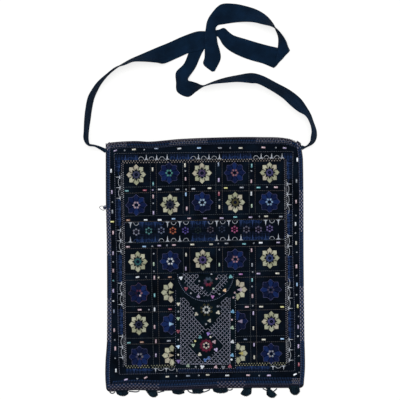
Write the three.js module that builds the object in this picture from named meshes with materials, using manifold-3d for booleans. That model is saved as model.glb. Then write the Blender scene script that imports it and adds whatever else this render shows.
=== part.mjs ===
// Embroidered shoulder bag, lying flat on its back with its strap tied in a bow.
// Millimetres. +X to the bag's right, +Y towards the mouth, +Z up from the surface it lies on.
// The origin is the middle of the bag's back, on that surface.

import * as THREE from 'three';
import { mergeVertices } from 'three/addons/utils/BufferGeometryUtils.js';
import Module from 'manifold-3d';

const wasm = await Module();
wasm.setup();

// Cloth sizes
const WALL = 2;
const MERGE_WITHIN = 1e-4;
const GAP = 0.5;
const BINDING_WIDTH = 6;
const SEAM_TOP = 4.4;
const MOUTH_STEP = 1.5;

// Braid over the seams: its section from the outer edge inwards, and the slant of its two ends
const BINDING_SECTION = [
  { across: 0, height: 1.3 },
  { across: 0.16, height: 0.2 },
  { across: 1, height: 0.2 },
  { across: 1, height: SEAM_TOP },
  { across: 0.53, height: SEAM_TOP + 0.7 },
  { across: 0.15, height: SEAM_TOP - 0.2 },
];
const BINDING_END_SLANT = 4.6;
const BINDING_STEPS = 18;
const CORNER_STEPS = 4;
const CORNER_RUN = 5;
const LOW_LEFT = { x: -142, y: -184 };
const LOW_RIGHT = { x: 140, y: -178 };

// How the front rises off the back between the seams
const FRONT_RISE = 7.2;
const RISE_REACH = 34;

// Pocket and flap
const POCKET_LEFT = -45;
const POCKET_RIGHT = 46.5;
const POCKET_BOTTOM = -157.5;
const POCKET_MOUTH = -20;
const POCKET_WALL = 1.6;
const POCKET_LIFT = 5.4;
const POCKET_REACH = 13;
const FLAP_X = 1;
const FLAP_ROOT = -12.8;
const FLAP_RADIUS = 43;
const FLAP_PINHOLE = 0.6;
const FLAP_WALL = 1.6;
const FLAP_CLIMB = 6;
const FLAP_CLEARANCE = 1.3;

// Grids of the cloth solids, across and down
const FRONT_GRID = [18, 22];
const BACK_GRID = [10, 20];
const POCKET_GRID = [14, 16];
const FLAP_GRID = [16, 9];

// Strap
const STRAP_THICKNESS = 1.5;
const SELVEDGE = 0.65;
const STRAP_STEPS = 2;
const STRAP_ACROSS = 4;

// Tufts
const FEWEST_LOCKS = 5;
const LOCK_SPACING = 3.6;
const LOCK_SIDES = 6;
const LOCK_RADIUS = 2.5;
const SIDE_LOCK_RADIUS = 1.2;
const LOCK_FLATNESS = 0.9;
const TUFT_HEIGHT = 2.9;
const CORD_RADIUS = 0.7;
const CORD_STEPS = 5;
const TIP_ROUNDING = 0.5;
const TIP_INSET = 0.3;
const LOCK_HEAD = 0.5;
const LOCK_NECK = 0.85;
const LOCK_END = 0.75;
const CORD_SEGMENTS = 3;

// Outline of the bag. Sides give x at a height y, the mouth and the hem give y at a place x.
const LEFT_SIDE = [
  { at: -191, edge: -147.4 },
  { at: -174, edge: -149.5 },
  { at: -147, edge: -149.4 },
  { at: -114, edge: -147.2 },
  { at: 21, edge: -147.3 },
  { at: 96, edge: -148.8 },
  { at: 178, edge: -149 },
];
const RIGHT_SIDE = [
  { at: -185, edge: 147.6 },
  { at: -156, edge: 150 },
  { at: -108, edge: 149.2 },
  { at: 0, edge: 148 },
  { at: 156, edge: 147 },
  { at: 178, edge: 144 },
];
const MOUTH = [
  { at: -149, edge: 178.6 },
  { at: -139.5, edge: 182.2 },
  { at: -103.5, edge: 184.3 },
  { at: -79.5, edge: 183.5 },
  { at: -31.5, edge: 187.6 },
  { at: 40.5, edge: 190.1 },
  { at: 88.5, edge: 190.2 },
  { at: 124.5, edge: 188.6 },
  { at: 144, edge: 181 },
];
const HEM = [
  { at: -148, edge: -192 },
  { at: -103.5, edge: -189.3 },
  { at: -67.5, edge: -190.4 },
  { at: -19.5, edge: -188.8 },
  { at: 40.5, edge: -186.4 },
  { at: 146.5, edge: -186 },
];

// Soft dents and swells of the front
const DENTS = [
  { x: -92, y: 148, radius: 42, lift: 1.1 },
  { x: 62, y: 120, radius: 55, lift: -1 },
  { x: -74, y: -120, radius: 45, lift: -0.9 },
  { x: 102, y: -92, radius: 50, lift: 0.8 },
  { x: -20, y: 60, radius: 60, lift: -0.7 },
];

// Strap stations: the band's two edges, a and b, and how far its middle arches up.
// Where the edges close up in plan the band stands on its edge.
const STRAP_LEFT = [
  { a: [-149.8, 167.3, 3.6], b: [-149.8, 172.8, 1.2] },
  { a: [-157.5, 172.2, 9], b: [-158.7, 176.3, 0.9] },
  { a: [-165, 176.3, 17], b: [-166.2, 178.2, 0.9] },
  { a: [-173.7, 177.5, 24.5], b: [-173.1, 179.7, 0.9] },
  { a: [-178.3, 181.2, 26.4], b: [-174.4, 183.4, 0.9] },
  { a: [-181, 188.2, 26.2], b: [-175, 189.2, 0.9] },
  { a: [-180.6, 198.5, 26.2], b: [-174.6, 198.5, 0.9] },
  { a: [-179.7, 217.2, 25.8], b: [-172, 217.2, 0.9] },
  { a: [-178, 232.2, 25.6], b: [-170, 231.8, 0.9] },
  { a: [-174.3, 249.8, 25.5], b: [-166.2, 249, 0.9] },
  { a: [-167.5, 262.2, 25.8], b: [-160.5, 261.8, 0.9] },
  { a: [-160, 272.2, 26.2], b: [-155, 271.5, 0.9] },
  { a: [-146.5, 284, 26.8], b: [-144, 284.6, 0.9] },
  { a: [-132.5, 294.2, 26.9], b: [-132.5, 294.2, 0.9] },
  { a: [-119.5, 298.2, 26.6], b: [-120.3, 302, 0.9] },
  { a: [-108, 302.5, 26.2], b: [-110.6, 307.6, 0.9] },
  { a: [-91.5, 303, 24], b: [-95.6, 314.1, 0.9] },
  { a: [-72, 301.8, 17.5], b: [-79.1, 321.1, 0.9] },
  { a: [-62.3, 300.8, 9], b: [-70.1, 324.9, 0.9] },
  { a: [-43.5, 308.5, 1.2], b: [-52.8, 332, 0.9] },
  { a: [-24, 317, 2.8], b: [-33.8, 340.5, 2.4] },
  { a: [-3, 322.5, 2.9], b: [-11.3, 348.2, 2.9] },
  { a: [5, 330, 2.9], b: [1.5, 348.6, 2.9] },
];
const STRAP_RIGHT = [
  { a: [-7, 344.5, 0.9], b: [5.5, 334.5, 0.9] },
  { a: [-21.5, 322.3, 0.9], b: [-5.6, 315.3, 0.9], arch: 0.4 },
  { a: [-31, 300.3, 0.9], b: [-14.8, 294.6, 1.6], arch: 2 },
  { a: [-43, 287, 0.9], b: [-24.9, 280, 6], arch: 2 },
  { a: [-42.8, 273, 0.9], b: [-26, 276.5, 13] },
  { a: [-41.3, 258.9, 0.9], b: [-25.3, 274.2, 15] },
  { a: [-25, 251.2, 0.9], b: [-20, 272.7, 14.8] },
  { a: [-13.5, 258.8, 0.9], b: [-12, 270, 24.3] },
  { a: [-2.3, 266.5, 0.9], b: [-2.3, 266.5, 26.9] },
  { a: [10, 272, 0.9], b: [10.5, 269.4, 26.8] },
  { a: [25.5, 277.8, 0.9], b: [27.5, 271, 25.9] },
  { a: [47.5, 282.6, 0.9], b: [48.8, 272.6, 24.9] },
  { a: [70.7, 285.8, 0.9], b: [69.8, 270.9, 22.6] },
  { a: [85.4, 282.2, 0.9], b: [78, 270.3, 23.3] },
  { a: [105.6, 272, 0.9], b: [96, 261.6, 23.3] },
  { a: [128.2, 259.6, 0.9], b: [116.4, 248.4, 22.5] },
  { a: [143.2, 247.4, 0.9], b: [130.7, 235.3, 21.7] },
  { a: [152.3, 234.8, 0.9], b: [140.3, 228, 22.9] },
  { a: [158.3, 224.6, 0.9], b: [149.9, 222.2, 25.5] },
  { a: [162, 214.5, 0.9], b: [155.9, 213, 26.1] },
  { a: [167, 199.5, 0.9], b: [159.4, 199.5, 25.8] },
  { a: [166.8, 189, 0.9], b: [158.3, 190, 25.6] },
  { a: [162.5, 181, 0.9], b: [157.2, 183.2, 22] },
  { a: [150.9, 174.8, 0.9], b: [150.5, 176, 11] },
  { a: [146.1, 171.6, 1.2], b: [145.3, 177.3, 3.8] },
];
const STRAP_BOW = [
  { a: [10.5, 349.5, 2.9], b: [9, 339.7, 2.9] },
  { a: [20, 350.7, 2.9], b: [18.8, 341.5, 2.9] },
  { a: [28.2, 353.4, 2.5], b: [21.8, 338.3, 2.3] },
  { a: [35.8, 347.3, 1.8], b: [27.3, 329.2, 1.5] },
  { a: [42.5, 342.6, 0.9], b: [37.2, 320.3, 0.9] },
  { a: [60, 337, 0.9], b: [54.5, 311.4, 0.9] },
  { a: [77.7, 331.6, 0.9], b: [70.2, 305.8, 0.9] },
  { a: [94.7, 327, 0.9], b: [87.5, 301, 0.9] },
  { a: [120.2, 321.4, 0.9], b: [99.8, 295.9, 0.9] },
  { a: [126.6, 319.8, 2.6], b: [103.7, 294.8, 2.6] },
  { a: [124.3, 325, 4.6], b: [106, 307, 4.4] },
  { a: [121.2, 332.3, 18], b: [109.3, 322.5, 3.4] },
  { a: [115.5, 341.6, 25], b: [110, 339.5, 1.2] },
  { a: [105.8, 352, 26.9], b: [105.8, 352, 0.9] },
  { a: [98.3, 355.5, 26.5], b: [101.3, 361.5, 0.9] },
  { a: [87, 358.5, 22.5], b: [92.3, 371.7, 0.9] },
  { a: [73.5, 362, 18.5], b: [78.8, 380.3, 0.9] },
  { a: [60, 363.2, 11], b: [63, 385.7, 0.9] },
  { a: [45, 362.6, 2], b: [43.5, 389.7, 0.9] },
  { a: [27, 360, 0.9], b: [23.7, 388.7, 0.9] },
  { a: [19.5, 358.5, 2.6], b: [10.8, 376.2, 2.4], arch: 1 },
  { a: [16, 354.8, 4.8], b: [3.7, 363.9, 4.6], arch: 2.4 },
  { a: [15.5, 351, 5.2], b: [1.3, 350.5, 5.2], arch: 2.6 },
  { a: [17, 341, 5.2], b: [-0.8, 339, 5.2], arch: 2.6 },
  { a: [18.5, 330.8, 5], b: [-0.3, 327, 5], arch: 1.6 },
  { a: [21.3, 321, 3.8], b: [0, 319.5, 4], arch: 0.8 },
  { a: [23.1, 312, 1.4], b: [-0.2, 309.8, 1.6] },
  { a: [22.2, 305.2, 0.9], b: [-2.1, 300.2, 0.9] },
  { a: [14, 288.9, 0.9], b: [11, 288.4, 0.9] },
];

// Tufts along the hem: where each is sewn on, its width there, where its tip lies, its width there and
// how far it hangs. Some lie over the hem, and some hang in a loop of fine cord, given by its route.
const TASSELS = [
  { x: -123.9, width: 19.8, tipX: -123.3, tipWidth: 12, depth: 8.6 },
  { x: -80.1, width: 17.4, tipX: -76.5, tipWidth: 10.5, depth: 10.6 },
  { x: -39.8, width: 19.5, tipX: -39.6, tipWidth: 14, depth: 6.8 },
  {
    x: -10.5,
    width: 18,
    tipX: -10,
    tipWidth: 14,
    depth: 6.8,
    cords: [[[-25.2, -190.4], [-21.5, -193.4], [-14, -194]], [[6.5, -189.4], [3, -191.2], [-4, -192.6]]],
  },
  { x: 23.3, width: 24, tipX: 24, tipWidth: 16, depth: 7.8 },
  { x: 63.9, width: 14, tipX: 60.8, tipWidth: 15, depth: 13 },
  {
    x: 95.4,
    width: 7,
    tipX: 100.8,
    tipWidth: 14.5,
    depth: 15.6,
    cords: [[[88.2, -187.8], [91.5, -189.8], [97, -192]], [[108.8, -187.8], [106.5, -190.6], [101, -194]]],
  },
  { x: 133.5, width: 15.8, tipX: 135, tipWidth: 13, depth: 11.4, overlap: 5, lift: 5.4 },
];
const SIDE_TUFT = { x: -148.6, y: 84.8, width: 7, tipWidth: 4, depth: 4.6 };

const LOOKS = {
  ground: { color: 0x12151f, roughness: 0.9 },
  back: { color: 0x141a2a, roughness: 0.9 },
  binding: { color: 0x2c2c3c, roughness: 0.85 },
  pocket: { color: 0x14202a, roughness: 0.9 },
  strap: { color: 0x14283c, roughness: 0.85 },
  tuft: { color: 0x0d1f2b, roughness: 0.95 },
};

function smooth(value) {
  const t = THREE.MathUtils.clamp(value, 0, 1);
  return t * t * (3 - 2 * t);
}

// Smooth curve through a table's rows, flat beyond its ends.
function along(rows, at) {
  const last = rows.length - 1;
  const place = THREE.MathUtils.clamp(at, rows[0].at, rows[last].at);
  let i = 0;
  while (i < last - 1 && place > rows[i + 1].at) {
    i += 1;
  }
  const slope = (k) => {
    const before = rows[Math.max(k - 1, 0)];
    const after = rows[Math.min(k + 1, last)];
    return (after.edge - before.edge) / (after.at - before.at);
  };
  const span = rows[i + 1].at - rows[i].at;
  const t = (place - rows[i].at) / span;
  const rise = rows[i + 1].edge - rows[i].edge;
  const bend0 = slope(i) * span - rise;
  const bend1 = rise - slope(i + 1) * span;
  return rows[i].edge + rise * t + t * (1 - t) * (bend0 * (1 - t) + bend1 * t);
}

const leftSide = (y) => along(LEFT_SIDE, y);
const rightSide = (y) => along(RIGHT_SIDE, y);
const mouth = (x) => along(MOUTH, x);
const hem = (x) => along(HEM, x);

// Closed geometry from corner positions and faces, turned so that the faces point out.
function closedGeometry(corners, faces) {
  let volume = 0;
  for (const [i, j, k] of faces) {
    volume += corners[i].dot(corners[j].clone().cross(corners[k]));
  }
  const turned = volume < 0 ? faces.map(([i, j, k]) => [i, k, j]) : faces;
  const geometry = new THREE.BufferGeometry().setFromPoints(corners);
  geometry.setIndex(turned.flat());
  geometry.computeVertexNormals();
  return geometry;
}

// Solid through a row of sections with the same even number of corners.
function loft(sections) {
  const count = sections[0].length;
  const corners = sections.flat();
  const faces = [];
  for (let i = 0; i < sections.length - 1; i += 1) {
    for (let k = 0; k < count; k += 1) {
      const here = i * count;
      const there = here + count;
      const next = (k + 1) % count;
      faces.push([here + k, here + next, there + next], [here + k, there + next, there + k]);
    }
  }
  const lastStart = (sections.length - 1) * count;
  for (let k = 0; k < count / 2 - 1; k += 1) {
    const mirror = count - 1 - k;
    const start = [k, mirror, mirror - 1, k + 1];
    const end = start.map((corner) => lastStart + corner);
    faces.push([start[0], start[1], start[2]], [start[0], start[2], start[3]]);
    faces.push([end[0], end[2], end[1]], [end[0], end[3], end[2]]);
  }
  return closedGeometry(corners, faces);
}

// Cloth of one thickness over a grid: plan(s, t) gives its place and under(x, y) its lower side.
function clothSolid([across, down], plan, under, thickness) {
  const corners = [];
  for (const lift of [thickness, 0]) {
    for (let j = 0; j <= down; j += 1) {
      for (let i = 0; i <= across; i += 1) {
        const { x, y } = plan(i / across, j / down);
        corners.push(new THREE.Vector3(x, y, under(x, y) + lift));
      }
    }
  }
  const row = across + 1;
  const layer = row * (down + 1);
  const faces = [];
  const quad = (a, b, c, d) => faces.push([a, b, c], [a, c, d]);
  for (let j = 0; j < down; j += 1) {
    for (let i = 0; i < across; i += 1) {
      const a = j * row + i;
      quad(a, a + 1, a + row + 1, a + row);
      quad(layer + a, layer + a + row, layer + a + row + 1, layer + a + 1);
    }
  }
  for (let i = 0; i < across; i += 1) {
    const far = down * row + i;
    quad(i + 1, i, layer + i, layer + i + 1);
    quad(far, far + 1, layer + far + 1, layer + far);
  }
  for (let j = 0; j < down; j += 1) {
    const near = j * row;
    const far = near + across;
    quad(near, near + row, layer + near + row, layer + near);
    quad(far + row, far, layer + far, layer + far + row);
  }
  return closedGeometry(corners, faces);
}

// Plan of a panel inside the binding: s runs from left to right and t from hem to mouth.
function panelPlan(mouthStep) {
  const inset = BINDING_WIDTH + GAP;
  return (s, t) => {
    const guide = THREE.MathUtils.lerp(leftSide(0) + inset, rightSide(0) - inset, s);
    const y = THREE.MathUtils.lerp(hem(guide) + inset, mouth(guide) - mouthStep, t);
    const x = THREE.MathUtils.lerp(leftSide(y) + inset, rightSide(y) - inset, s);
    return { x, y };
  };
}

// Top of the front panel: low at the seams, up to its full rise inside them, with soft dents.
function frontTop(x, y) {
  const inset = BINDING_WIDTH + GAP;
  const fromLeft = smooth((x - leftSide(y) - inset) / RISE_REACH);
  const fromRight = smooth((rightSide(y) - inset - x) / RISE_REACH);
  const fromHem = smooth((y - hem(x) - inset) / RISE_REACH);
  const inside = fromLeft * fromRight * fromHem;
  let lift = FRONT_RISE;
  for (const dent of DENTS) {
    const away = Math.hypot(x - dent.x, y - dent.y) / dent.radius;
    lift += dent.lift * Math.exp(-away * away);
  }
  return SEAM_TOP + lift * inside;
}

function frontPanel() {
  return clothSolid(FRONT_GRID, panelPlan(0), (x, y) => frontTop(x, y) - WALL, WALL);
}

function backPanel() {
  return clothSolid(BACK_GRID, panelPlan(MOUTH_STEP), () => 0, WALL);
}

// Braid over the seam: down the left side, round the hem's corners and up the right side.
function edgeBinding() {
  const radius = BINDING_WIDTH + GAP;
  const outer = [];
  const addSide = (side, ys) => ys.forEach((y) => outer.push(new THREE.Vector2(side(y), y)));
  const steps = (from, to, count) =>
    Array.from({ length: count + 1 }, (_, i) => THREE.MathUtils.lerp(from, to, i / count));
  const addCorner = (cx, cy, start) => {
    for (const angle of steps(start, start + Math.PI / 2, CORNER_STEPS)) {
      outer.push(new THREE.Vector2(cx + radius * Math.cos(angle), cy + radius * Math.sin(angle)));
    }
  };
  const lowLeft = { x: leftSide(LOW_LEFT.y) + radius, y: hem(LOW_LEFT.x) + radius };
  const lowRight = { x: rightSide(LOW_RIGHT.y) - radius, y: hem(LOW_RIGHT.x) + radius };
  addSide(leftSide, steps(MOUTH[0].edge, lowLeft.y + CORNER_RUN, BINDING_STEPS));
  addCorner(lowLeft.x, lowLeft.y, Math.PI);
  for (const x of steps(lowLeft.x + CORNER_RUN, lowRight.x - CORNER_RUN, BINDING_STEPS)) {
    outer.push(new THREE.Vector2(x, hem(x)));
  }
  addCorner(lowRight.x, lowRight.y, -Math.PI / 2);
  addSide(rightSide, steps(lowRight.y + CORNER_RUN, MOUTH[MOUTH.length - 1].edge, BINDING_STEPS));

  const last = outer.length - 1;
  const sections = outer.map((point, i) => {
    const before = outer[Math.max(i - 1, 0)];
    const after = outer[Math.min(i + 1, last)];
    const heading = after.clone().sub(before).normalize();
    const inward = new THREE.Vector2(-heading.y, heading.x).multiplyScalar(BINDING_WIDTH);
    if (i === 0 || i === last) {
      inward.y += BINDING_END_SLANT;
    }
    return BINDING_SECTION.map(({ across, height }) => {
      const spot = point.clone().addScaledVector(inward, across);
      return new THREE.Vector3(spot.x, spot.y, height);
    });
  });
  return loft(sections);
}

// Underside of the pocket wall: sewn down at its sides and bottom, standing off between them.
function pocketUnder(x, y) {
  const fromSide = smooth(Math.min(x - POCKET_LEFT, POCKET_RIGHT - x) / POCKET_REACH);
  const fromBottom = smooth((y - POCKET_BOTTOM) / POCKET_REACH);
  return frontTop(x, y) + GAP + POCKET_LIFT * fromSide * fromBottom;
}

function pocket() {
  const plan = (s, t) => ({
    x: THREE.MathUtils.lerp(POCKET_LEFT, POCKET_RIGHT, s),
    y: THREE.MathUtils.lerp(POCKET_BOTTOM, POCKET_MOUTH, t),
  });
  return clothSolid(POCKET_GRID, plan, pocketUnder, POCKET_WALL);
}

// The flap is sewn to the front above the pocket's mouth and lies over the pocket.
function flapUnder(x, y) {
  const climb = smooth((FLAP_ROOT - y) / FLAP_CLIMB);
  const low = frontTop(x, y) + GAP;
  const high = pocketUnder(x, y) + POCKET_WALL + FLAP_CLEARANCE;
  return THREE.MathUtils.lerp(low, Math.max(low, high), climb);
}

function pocketFlap() {
  const plan = (s, t) => {
    const angle = Math.PI * (1 + s);
    const reach = THREE.MathUtils.lerp(FLAP_PINHOLE, FLAP_RADIUS, t);
    return { x: FLAP_X + reach * Math.cos(angle), y: FLAP_ROOT + reach * Math.sin(angle) };
  };
  return clothSolid(FLAP_GRID, plan, flapUnder, FLAP_WALL);
}

// A band of cloth through its stations, with its thickness set square to its face.
function strap(stations) {
  const edgeA = new THREE.CatmullRomCurve3(stations.map((row) => new THREE.Vector3(...row.a)));
  const edgeB = new THREE.CatmullRomCurve3(stations.map((row) => new THREE.Vector3(...row.b)));
  const count = (stations.length - 1) * STRAP_STEPS;
  const spots = [];
  for (let i = 0; i <= count; i += 1) {
    const a = edgeA.getPoint(i / count);
    const b = edgeB.getPoint(i / count);
    const row = Math.min(Math.floor(i / STRAP_STEPS), stations.length - 2);
    const part = i / STRAP_STEPS - row;
    const arch = THREE.MathUtils.lerp(stations[row].arch ?? 0, stations[row + 1].arch ?? 0, part);
    spots.push({ a, b, arch, middle: a.clone().lerp(b, 0.5) });
  }
  const sections = spots.map((spot, i) => {
    const before = spots[Math.max(i - 1, 0)].middle;
    const after = spots[Math.min(i + 1, count)].middle;
    const across = spot.b.clone().sub(spot.a).normalize();
    const face = after.clone().sub(before).cross(across).normalize().multiplyScalar(STRAP_THICKNESS / 2);
    const front = [];
    const back = [];
    for (let k = 0; k <= STRAP_ACROSS; k += 1) {
      const part = k / STRAP_ACROSS;
      const point = spot.a.clone().lerp(spot.b, part);
      point.addScaledVector(across, SELVEDGE * (2 * part - 1));
      point.z += spot.arch * 4 * part * (1 - part);
      front.push(point.clone().add(face));
      back.unshift(point.clone().sub(face));
    }
    return [...front, ...back];
  });
  return loft(sections);
}

// Boolean solid of a geometry whose shared corners are merged.
function toSolid(geometry) {
  geometry.deleteAttribute('normal');
  geometry.deleteAttribute('uv');
  const merged = mergeVertices(geometry, MERGE_WITHIN);
  const index = Array.from(merged.index.array);
  const faces = [];
  for (let i = 0; i < index.length; i += 3) {
    const [a, b, c] = index.slice(i, i + 3);
    if (a !== b && b !== c && c !== a) {
      faces.push(a, b, c);
    }
  }
  return new wasm.Manifold(new wasm.Mesh({
    numProp: 3,
    vertProperties: new Float32Array(merged.attributes.position.array),
    triVerts: new Uint32Array(faces),
  }));
}

function toGeometry(solid) {
  const mesh = solid.getMesh();
  const geometry = new THREE.BufferGeometry();
  geometry.setAttribute('position', new THREE.BufferAttribute(new Float32Array(mesh.vertProperties), 3));
  geometry.setIndex(Array.from(mesh.triVerts));
  geometry.computeVertexNormals();
  return geometry;
}

// One lock of thread from its root to its tip, rounded at both ends.
function lock(root, tip, radius) {
  const run = tip.clone().sub(root);
  const length = run.length();
  const profile = [
    [0, -LOCK_HEAD * radius],
    [LOCK_NECK * radius, 0],
    [radius, length / 2],
    [LOCK_END * radius, length - LOCK_HEAD * radius],
    [0, length],
  ];
  const geometry = new THREE.LatheGeometry(profile.map(([r, h]) => new THREE.Vector2(r, h)), LOCK_SIDES);
  geometry.scale(1, 1, LOCK_FLATNESS);
  const turn = new THREE.Quaternion().setFromUnitVectors(new THREE.Vector3(0, 1, 0), run.normalize());
  geometry.applyQuaternion(turn);
  geometry.translate(root.x, root.y, root.z);
  return geometry;
}

// A fine cord along its route, as high as the tuft's middle.
function cord(route) {
  const path = new THREE.CatmullRomCurve3(route.map(([x, y]) => new THREE.Vector3(x, y, TUFT_HEIGHT)));
  const circle = new THREE.Shape().absarc(0, 0, CORD_RADIUS, 0, Math.PI * 2);
  return new THREE.ExtrudeGeometry(circle, { steps: CORD_STEPS, extrudePath: path, curveSegments: CORD_SEGMENTS });
}

// A tuft: locks side by side from its root, spread to a rounded tip and joined into one solid.
function tuft(row, root, hang, radius) {
  const side = new THREE.Vector3(-hang.y, hang.x, 0);
  const lean = row.tipX === undefined ? 0 : (row.tipX - row.x) * side.x;
  const reach = row.depth + (row.overlap ?? 0) - GAP - LOCK_HEAD * radius;
  const locks = Math.max(FEWEST_LOCKS, Math.round(row.width / LOCK_SPACING));
  let solid = null;
  for (let k = 0; k < locks; k += 1) {
    const place = 2 * k / (locks - 1) - 1;
    const start = root.clone().addScaledVector(side, place * Math.max(row.width / 2 - radius, 0));
    const round = Math.sqrt(1 - TIP_ROUNDING * place * place);
    const tip = root.clone()
      .addScaledVector(side, lean + place * (row.tipWidth / 2 - TIP_INSET * radius))
      .addScaledVector(hang, reach * round);
    tip.z -= (row.lift ?? 0) * round;
    const piece = toSolid(lock(start, tip, radius));
    solid = solid ? solid.add(piece) : piece;
  }
  for (const route of row.cords ?? []) {
    solid = solid.add(toSolid(cord(route)));
  }
  return toGeometry(solid);
}

// Tufts hang just below the hem, or start above it by their overlap.
function hemTuft(row) {
  const y = hem(row.x) - GAP - LOCK_HEAD * LOCK_RADIUS + (row.overlap ?? 0);
  const root = new THREE.Vector3(row.x, y, TUFT_HEIGHT + (row.lift ?? 0));
  return tuft(row, root, new THREE.Vector3(0, -1, 0), LOCK_RADIUS);
}

function sideTuft(row) {
  const root = new THREE.Vector3(row.x - GAP - LOCK_HEAD * SIDE_LOCK_RADIUS, row.y, TUFT_HEIGHT);
  return tuft(row, root, new THREE.Vector3(-1, 0, 0), SIDE_LOCK_RADIUS);
}

const bag = new THREE.Group();

function add(name, geometry, look) {
  const material = new THREE.MeshStandardMaterial({ ...look, metalness: 0 });
  const mesh = new THREE.Mesh(geometry, material);
  mesh.name = name;
  bag.add(mesh);
}

add('back_panel', backPanel(), LOOKS.back);
add('front_panel', frontPanel(), LOOKS.ground);
add('edge_binding', edgeBinding(), LOOKS.binding);
add('pocket', pocket(), LOOKS.pocket);
add('pocket_flap', pocketFlap(), LOOKS.pocket);
add('strap_left', strap(STRAP_LEFT), LOOKS.strap);
add('strap_right', strap(STRAP_RIGHT), LOOKS.strap);
add('strap_bow', strap(STRAP_BOW), LOOKS.strap);
TASSELS.forEach((row, i) => add(`tassel_${i + 1}`, hemTuft(row), LOOKS.tuft));
add('side_tassel', sideTuft(SIDE_TUFT), LOOKS.tuft);

export default bag;
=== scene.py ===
# Embroidered shoulder bag: its cloth, embroidery, beads, strap and tufts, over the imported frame.
# Places are in millimetres until a mesh is made, which is in metres like the frame.

import math

import bpy
import numpy as np
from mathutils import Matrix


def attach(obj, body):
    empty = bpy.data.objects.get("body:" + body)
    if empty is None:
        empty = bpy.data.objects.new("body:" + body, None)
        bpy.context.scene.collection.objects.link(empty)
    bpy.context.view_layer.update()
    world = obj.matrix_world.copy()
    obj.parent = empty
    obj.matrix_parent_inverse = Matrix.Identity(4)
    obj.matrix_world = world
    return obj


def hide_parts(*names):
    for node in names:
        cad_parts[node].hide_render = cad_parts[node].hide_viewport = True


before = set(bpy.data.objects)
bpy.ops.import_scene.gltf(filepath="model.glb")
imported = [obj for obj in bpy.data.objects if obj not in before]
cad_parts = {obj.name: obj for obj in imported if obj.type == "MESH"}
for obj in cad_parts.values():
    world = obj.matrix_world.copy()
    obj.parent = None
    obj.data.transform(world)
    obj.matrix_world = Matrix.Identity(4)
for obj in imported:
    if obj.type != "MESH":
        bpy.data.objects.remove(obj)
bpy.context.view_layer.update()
chance = np.random.default_rng(11)

MM = 0.001
BODY = "root"
UP = np.array([0.0, 0.0, 1.0])
LEAST = 1e-9
LEAST_GAP = 1e-4

# Cloth sizes, the same as the solids'
WALL = 2.0
GAP = 0.5
BINDING_WIDTH = 6.0
SEAM_TOP = 4.4
MOUTH_STEP = 1.5
FRONT_RISE = 7.2
RISE_REACH = 34.0
POCKET_LEFT, POCKET_RIGHT = -45.0, 46.5
POCKET_BOTTOM, POCKET_MOUTH = -157.5, -20.0
POCKET_WALL = 1.6
POCKET_LIFT = 5.4
POCKET_REACH = 13.0
FLAP_X, FLAP_ROOT, FLAP_RADIUS = 1.0, -12.8, 43.0
FLAP_PINHOLE = 0.6
FLAP_WALL = 1.6
FLAP_CLIMB = 6.0
FLAP_CLEARANCE = 1.3
STRAP_WIDTH = 26.0
STRAP_THICKNESS = 1.5
SELVEDGE = 0.65
SURFACE_CLEARANCE = 0.05

# Columns and rows of the cloths' meshes, steps between two stations of the strap and its columns
FRONT_MESH, BACK_MESH = (110, 140), (60, 80)
POCKET_MESH, FLAP_MESH = (70, 100), (80, 40)
STRAP_STEPS, STRAP_COLUMNS = 10, 25

# Creases of the strap: turn for each mm along it, depth and turn across it
STRAP_CREASES = [(0.11, 0.22, 7), (0.19, 0.16, 12), (0.043, 0.3, 17)]
CREASE_SHARE = 0.6
CREASE_FADE = 0.7

# Hem of the strap: thickness in mm and, in parts of the width, where it begins, and the taper of the edges
STRAP_HEM, STRAP_HEM_FROM = 0.16, 0.41
STRAP_EDGE_TAPER, STRAP_EDGE_LEAST = 12, 0.35

# Running stitch along the strap's hems
STRAP_SEAM_COLUMN = 3
STRAP_SEAM_STEP, STRAP_SEAM_LENGTH, STRAP_SEAM_MARGIN = 3.0, 1.86, 2.0
STRAP_SEAM_WIDTH, STRAP_SEAM_LAYER, STRAP_SEAM_RISE = 0.4, 0.02, 0.2

# The stitch chart counts squares of 1.5 mm from its left and top. These two meet at the origin.
SQUARE = 1.5
CHART_COLUMN = 205.0
CHART_ROW = 264.0

# Outline of the bag: sides give x at a height y, the mouth and the hem give y at a place x.
LEFT_SIDE = [
    (-191, -147.4), (-174, -149.5), (-147, -149.4), (-114, -147.2), (21, -147.3), (96, -148.8), (178, -149),
]
RIGHT_SIDE = [(-185, 147.6), (-156, 150), (-108, 149.2), (0, 148), (156, 147), (178, 144)]
MOUTH = [
    (-149, 178.6), (-139.5, 182.2), (-103.5, 184.3), (-79.5, 183.5), (-31.5, 187.6),
    (40.5, 190.1), (88.5, 190.2), (124.5, 188.6), (144, 181),
]
HEM = [(-148, -192), (-103.5, -189.3), (-67.5, -190.4), (-19.5, -188.8), (40.5, -186.4), (146.5, -186)]

# Section of the braid from its outer edge in, over it and under it: part of its width and height
BRAID_SECTION = [(0.0, 1.3), (0.15, 4.2), (0.35, 4.9), (0.53, 5.1), (0.8, 4.8), (1.0, 4.4)]
BRAID_UNDERSIDE = [(0.16, 0.2), (1.0, 0.2)]
BRAID_END_SLANT = 4.6

# Lower corners of the braid: x where the hem is read and y where the side is, and where its straight runs end
LOW_LEFT_CORNER, LOW_RIGHT_CORNER = (-142.0, -184.0), (140.0, -178.0)
CORNER_CLEARANCE = 5.0
RUN_POINTS, CORNER_POINTS = 70, 10

# Puckers of stitched cloth: depth in mm, and turns for each mm along x and y, with how far they wander
PUCKER_DEPTH, PUCKER_TURNS = 0.1, (0.21, 0.17)
PUCKER_WANDER, PUCKER_BENDS = (1.7, 1.3), (0.043, 0.037)
SLANT_DEPTH, SLANT_TURNS = 0.05, (0.53, 0.31)

# Soft dents and swells of the front: x, y, radius, lift
DENTS = [
    (-92, 148, 42, 1.1), (62, 120, 55, -1), (-74, -120, 45, -0.9), (102, -92, 50, 0.8), (-20, 60, 60, -0.7),
]

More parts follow.
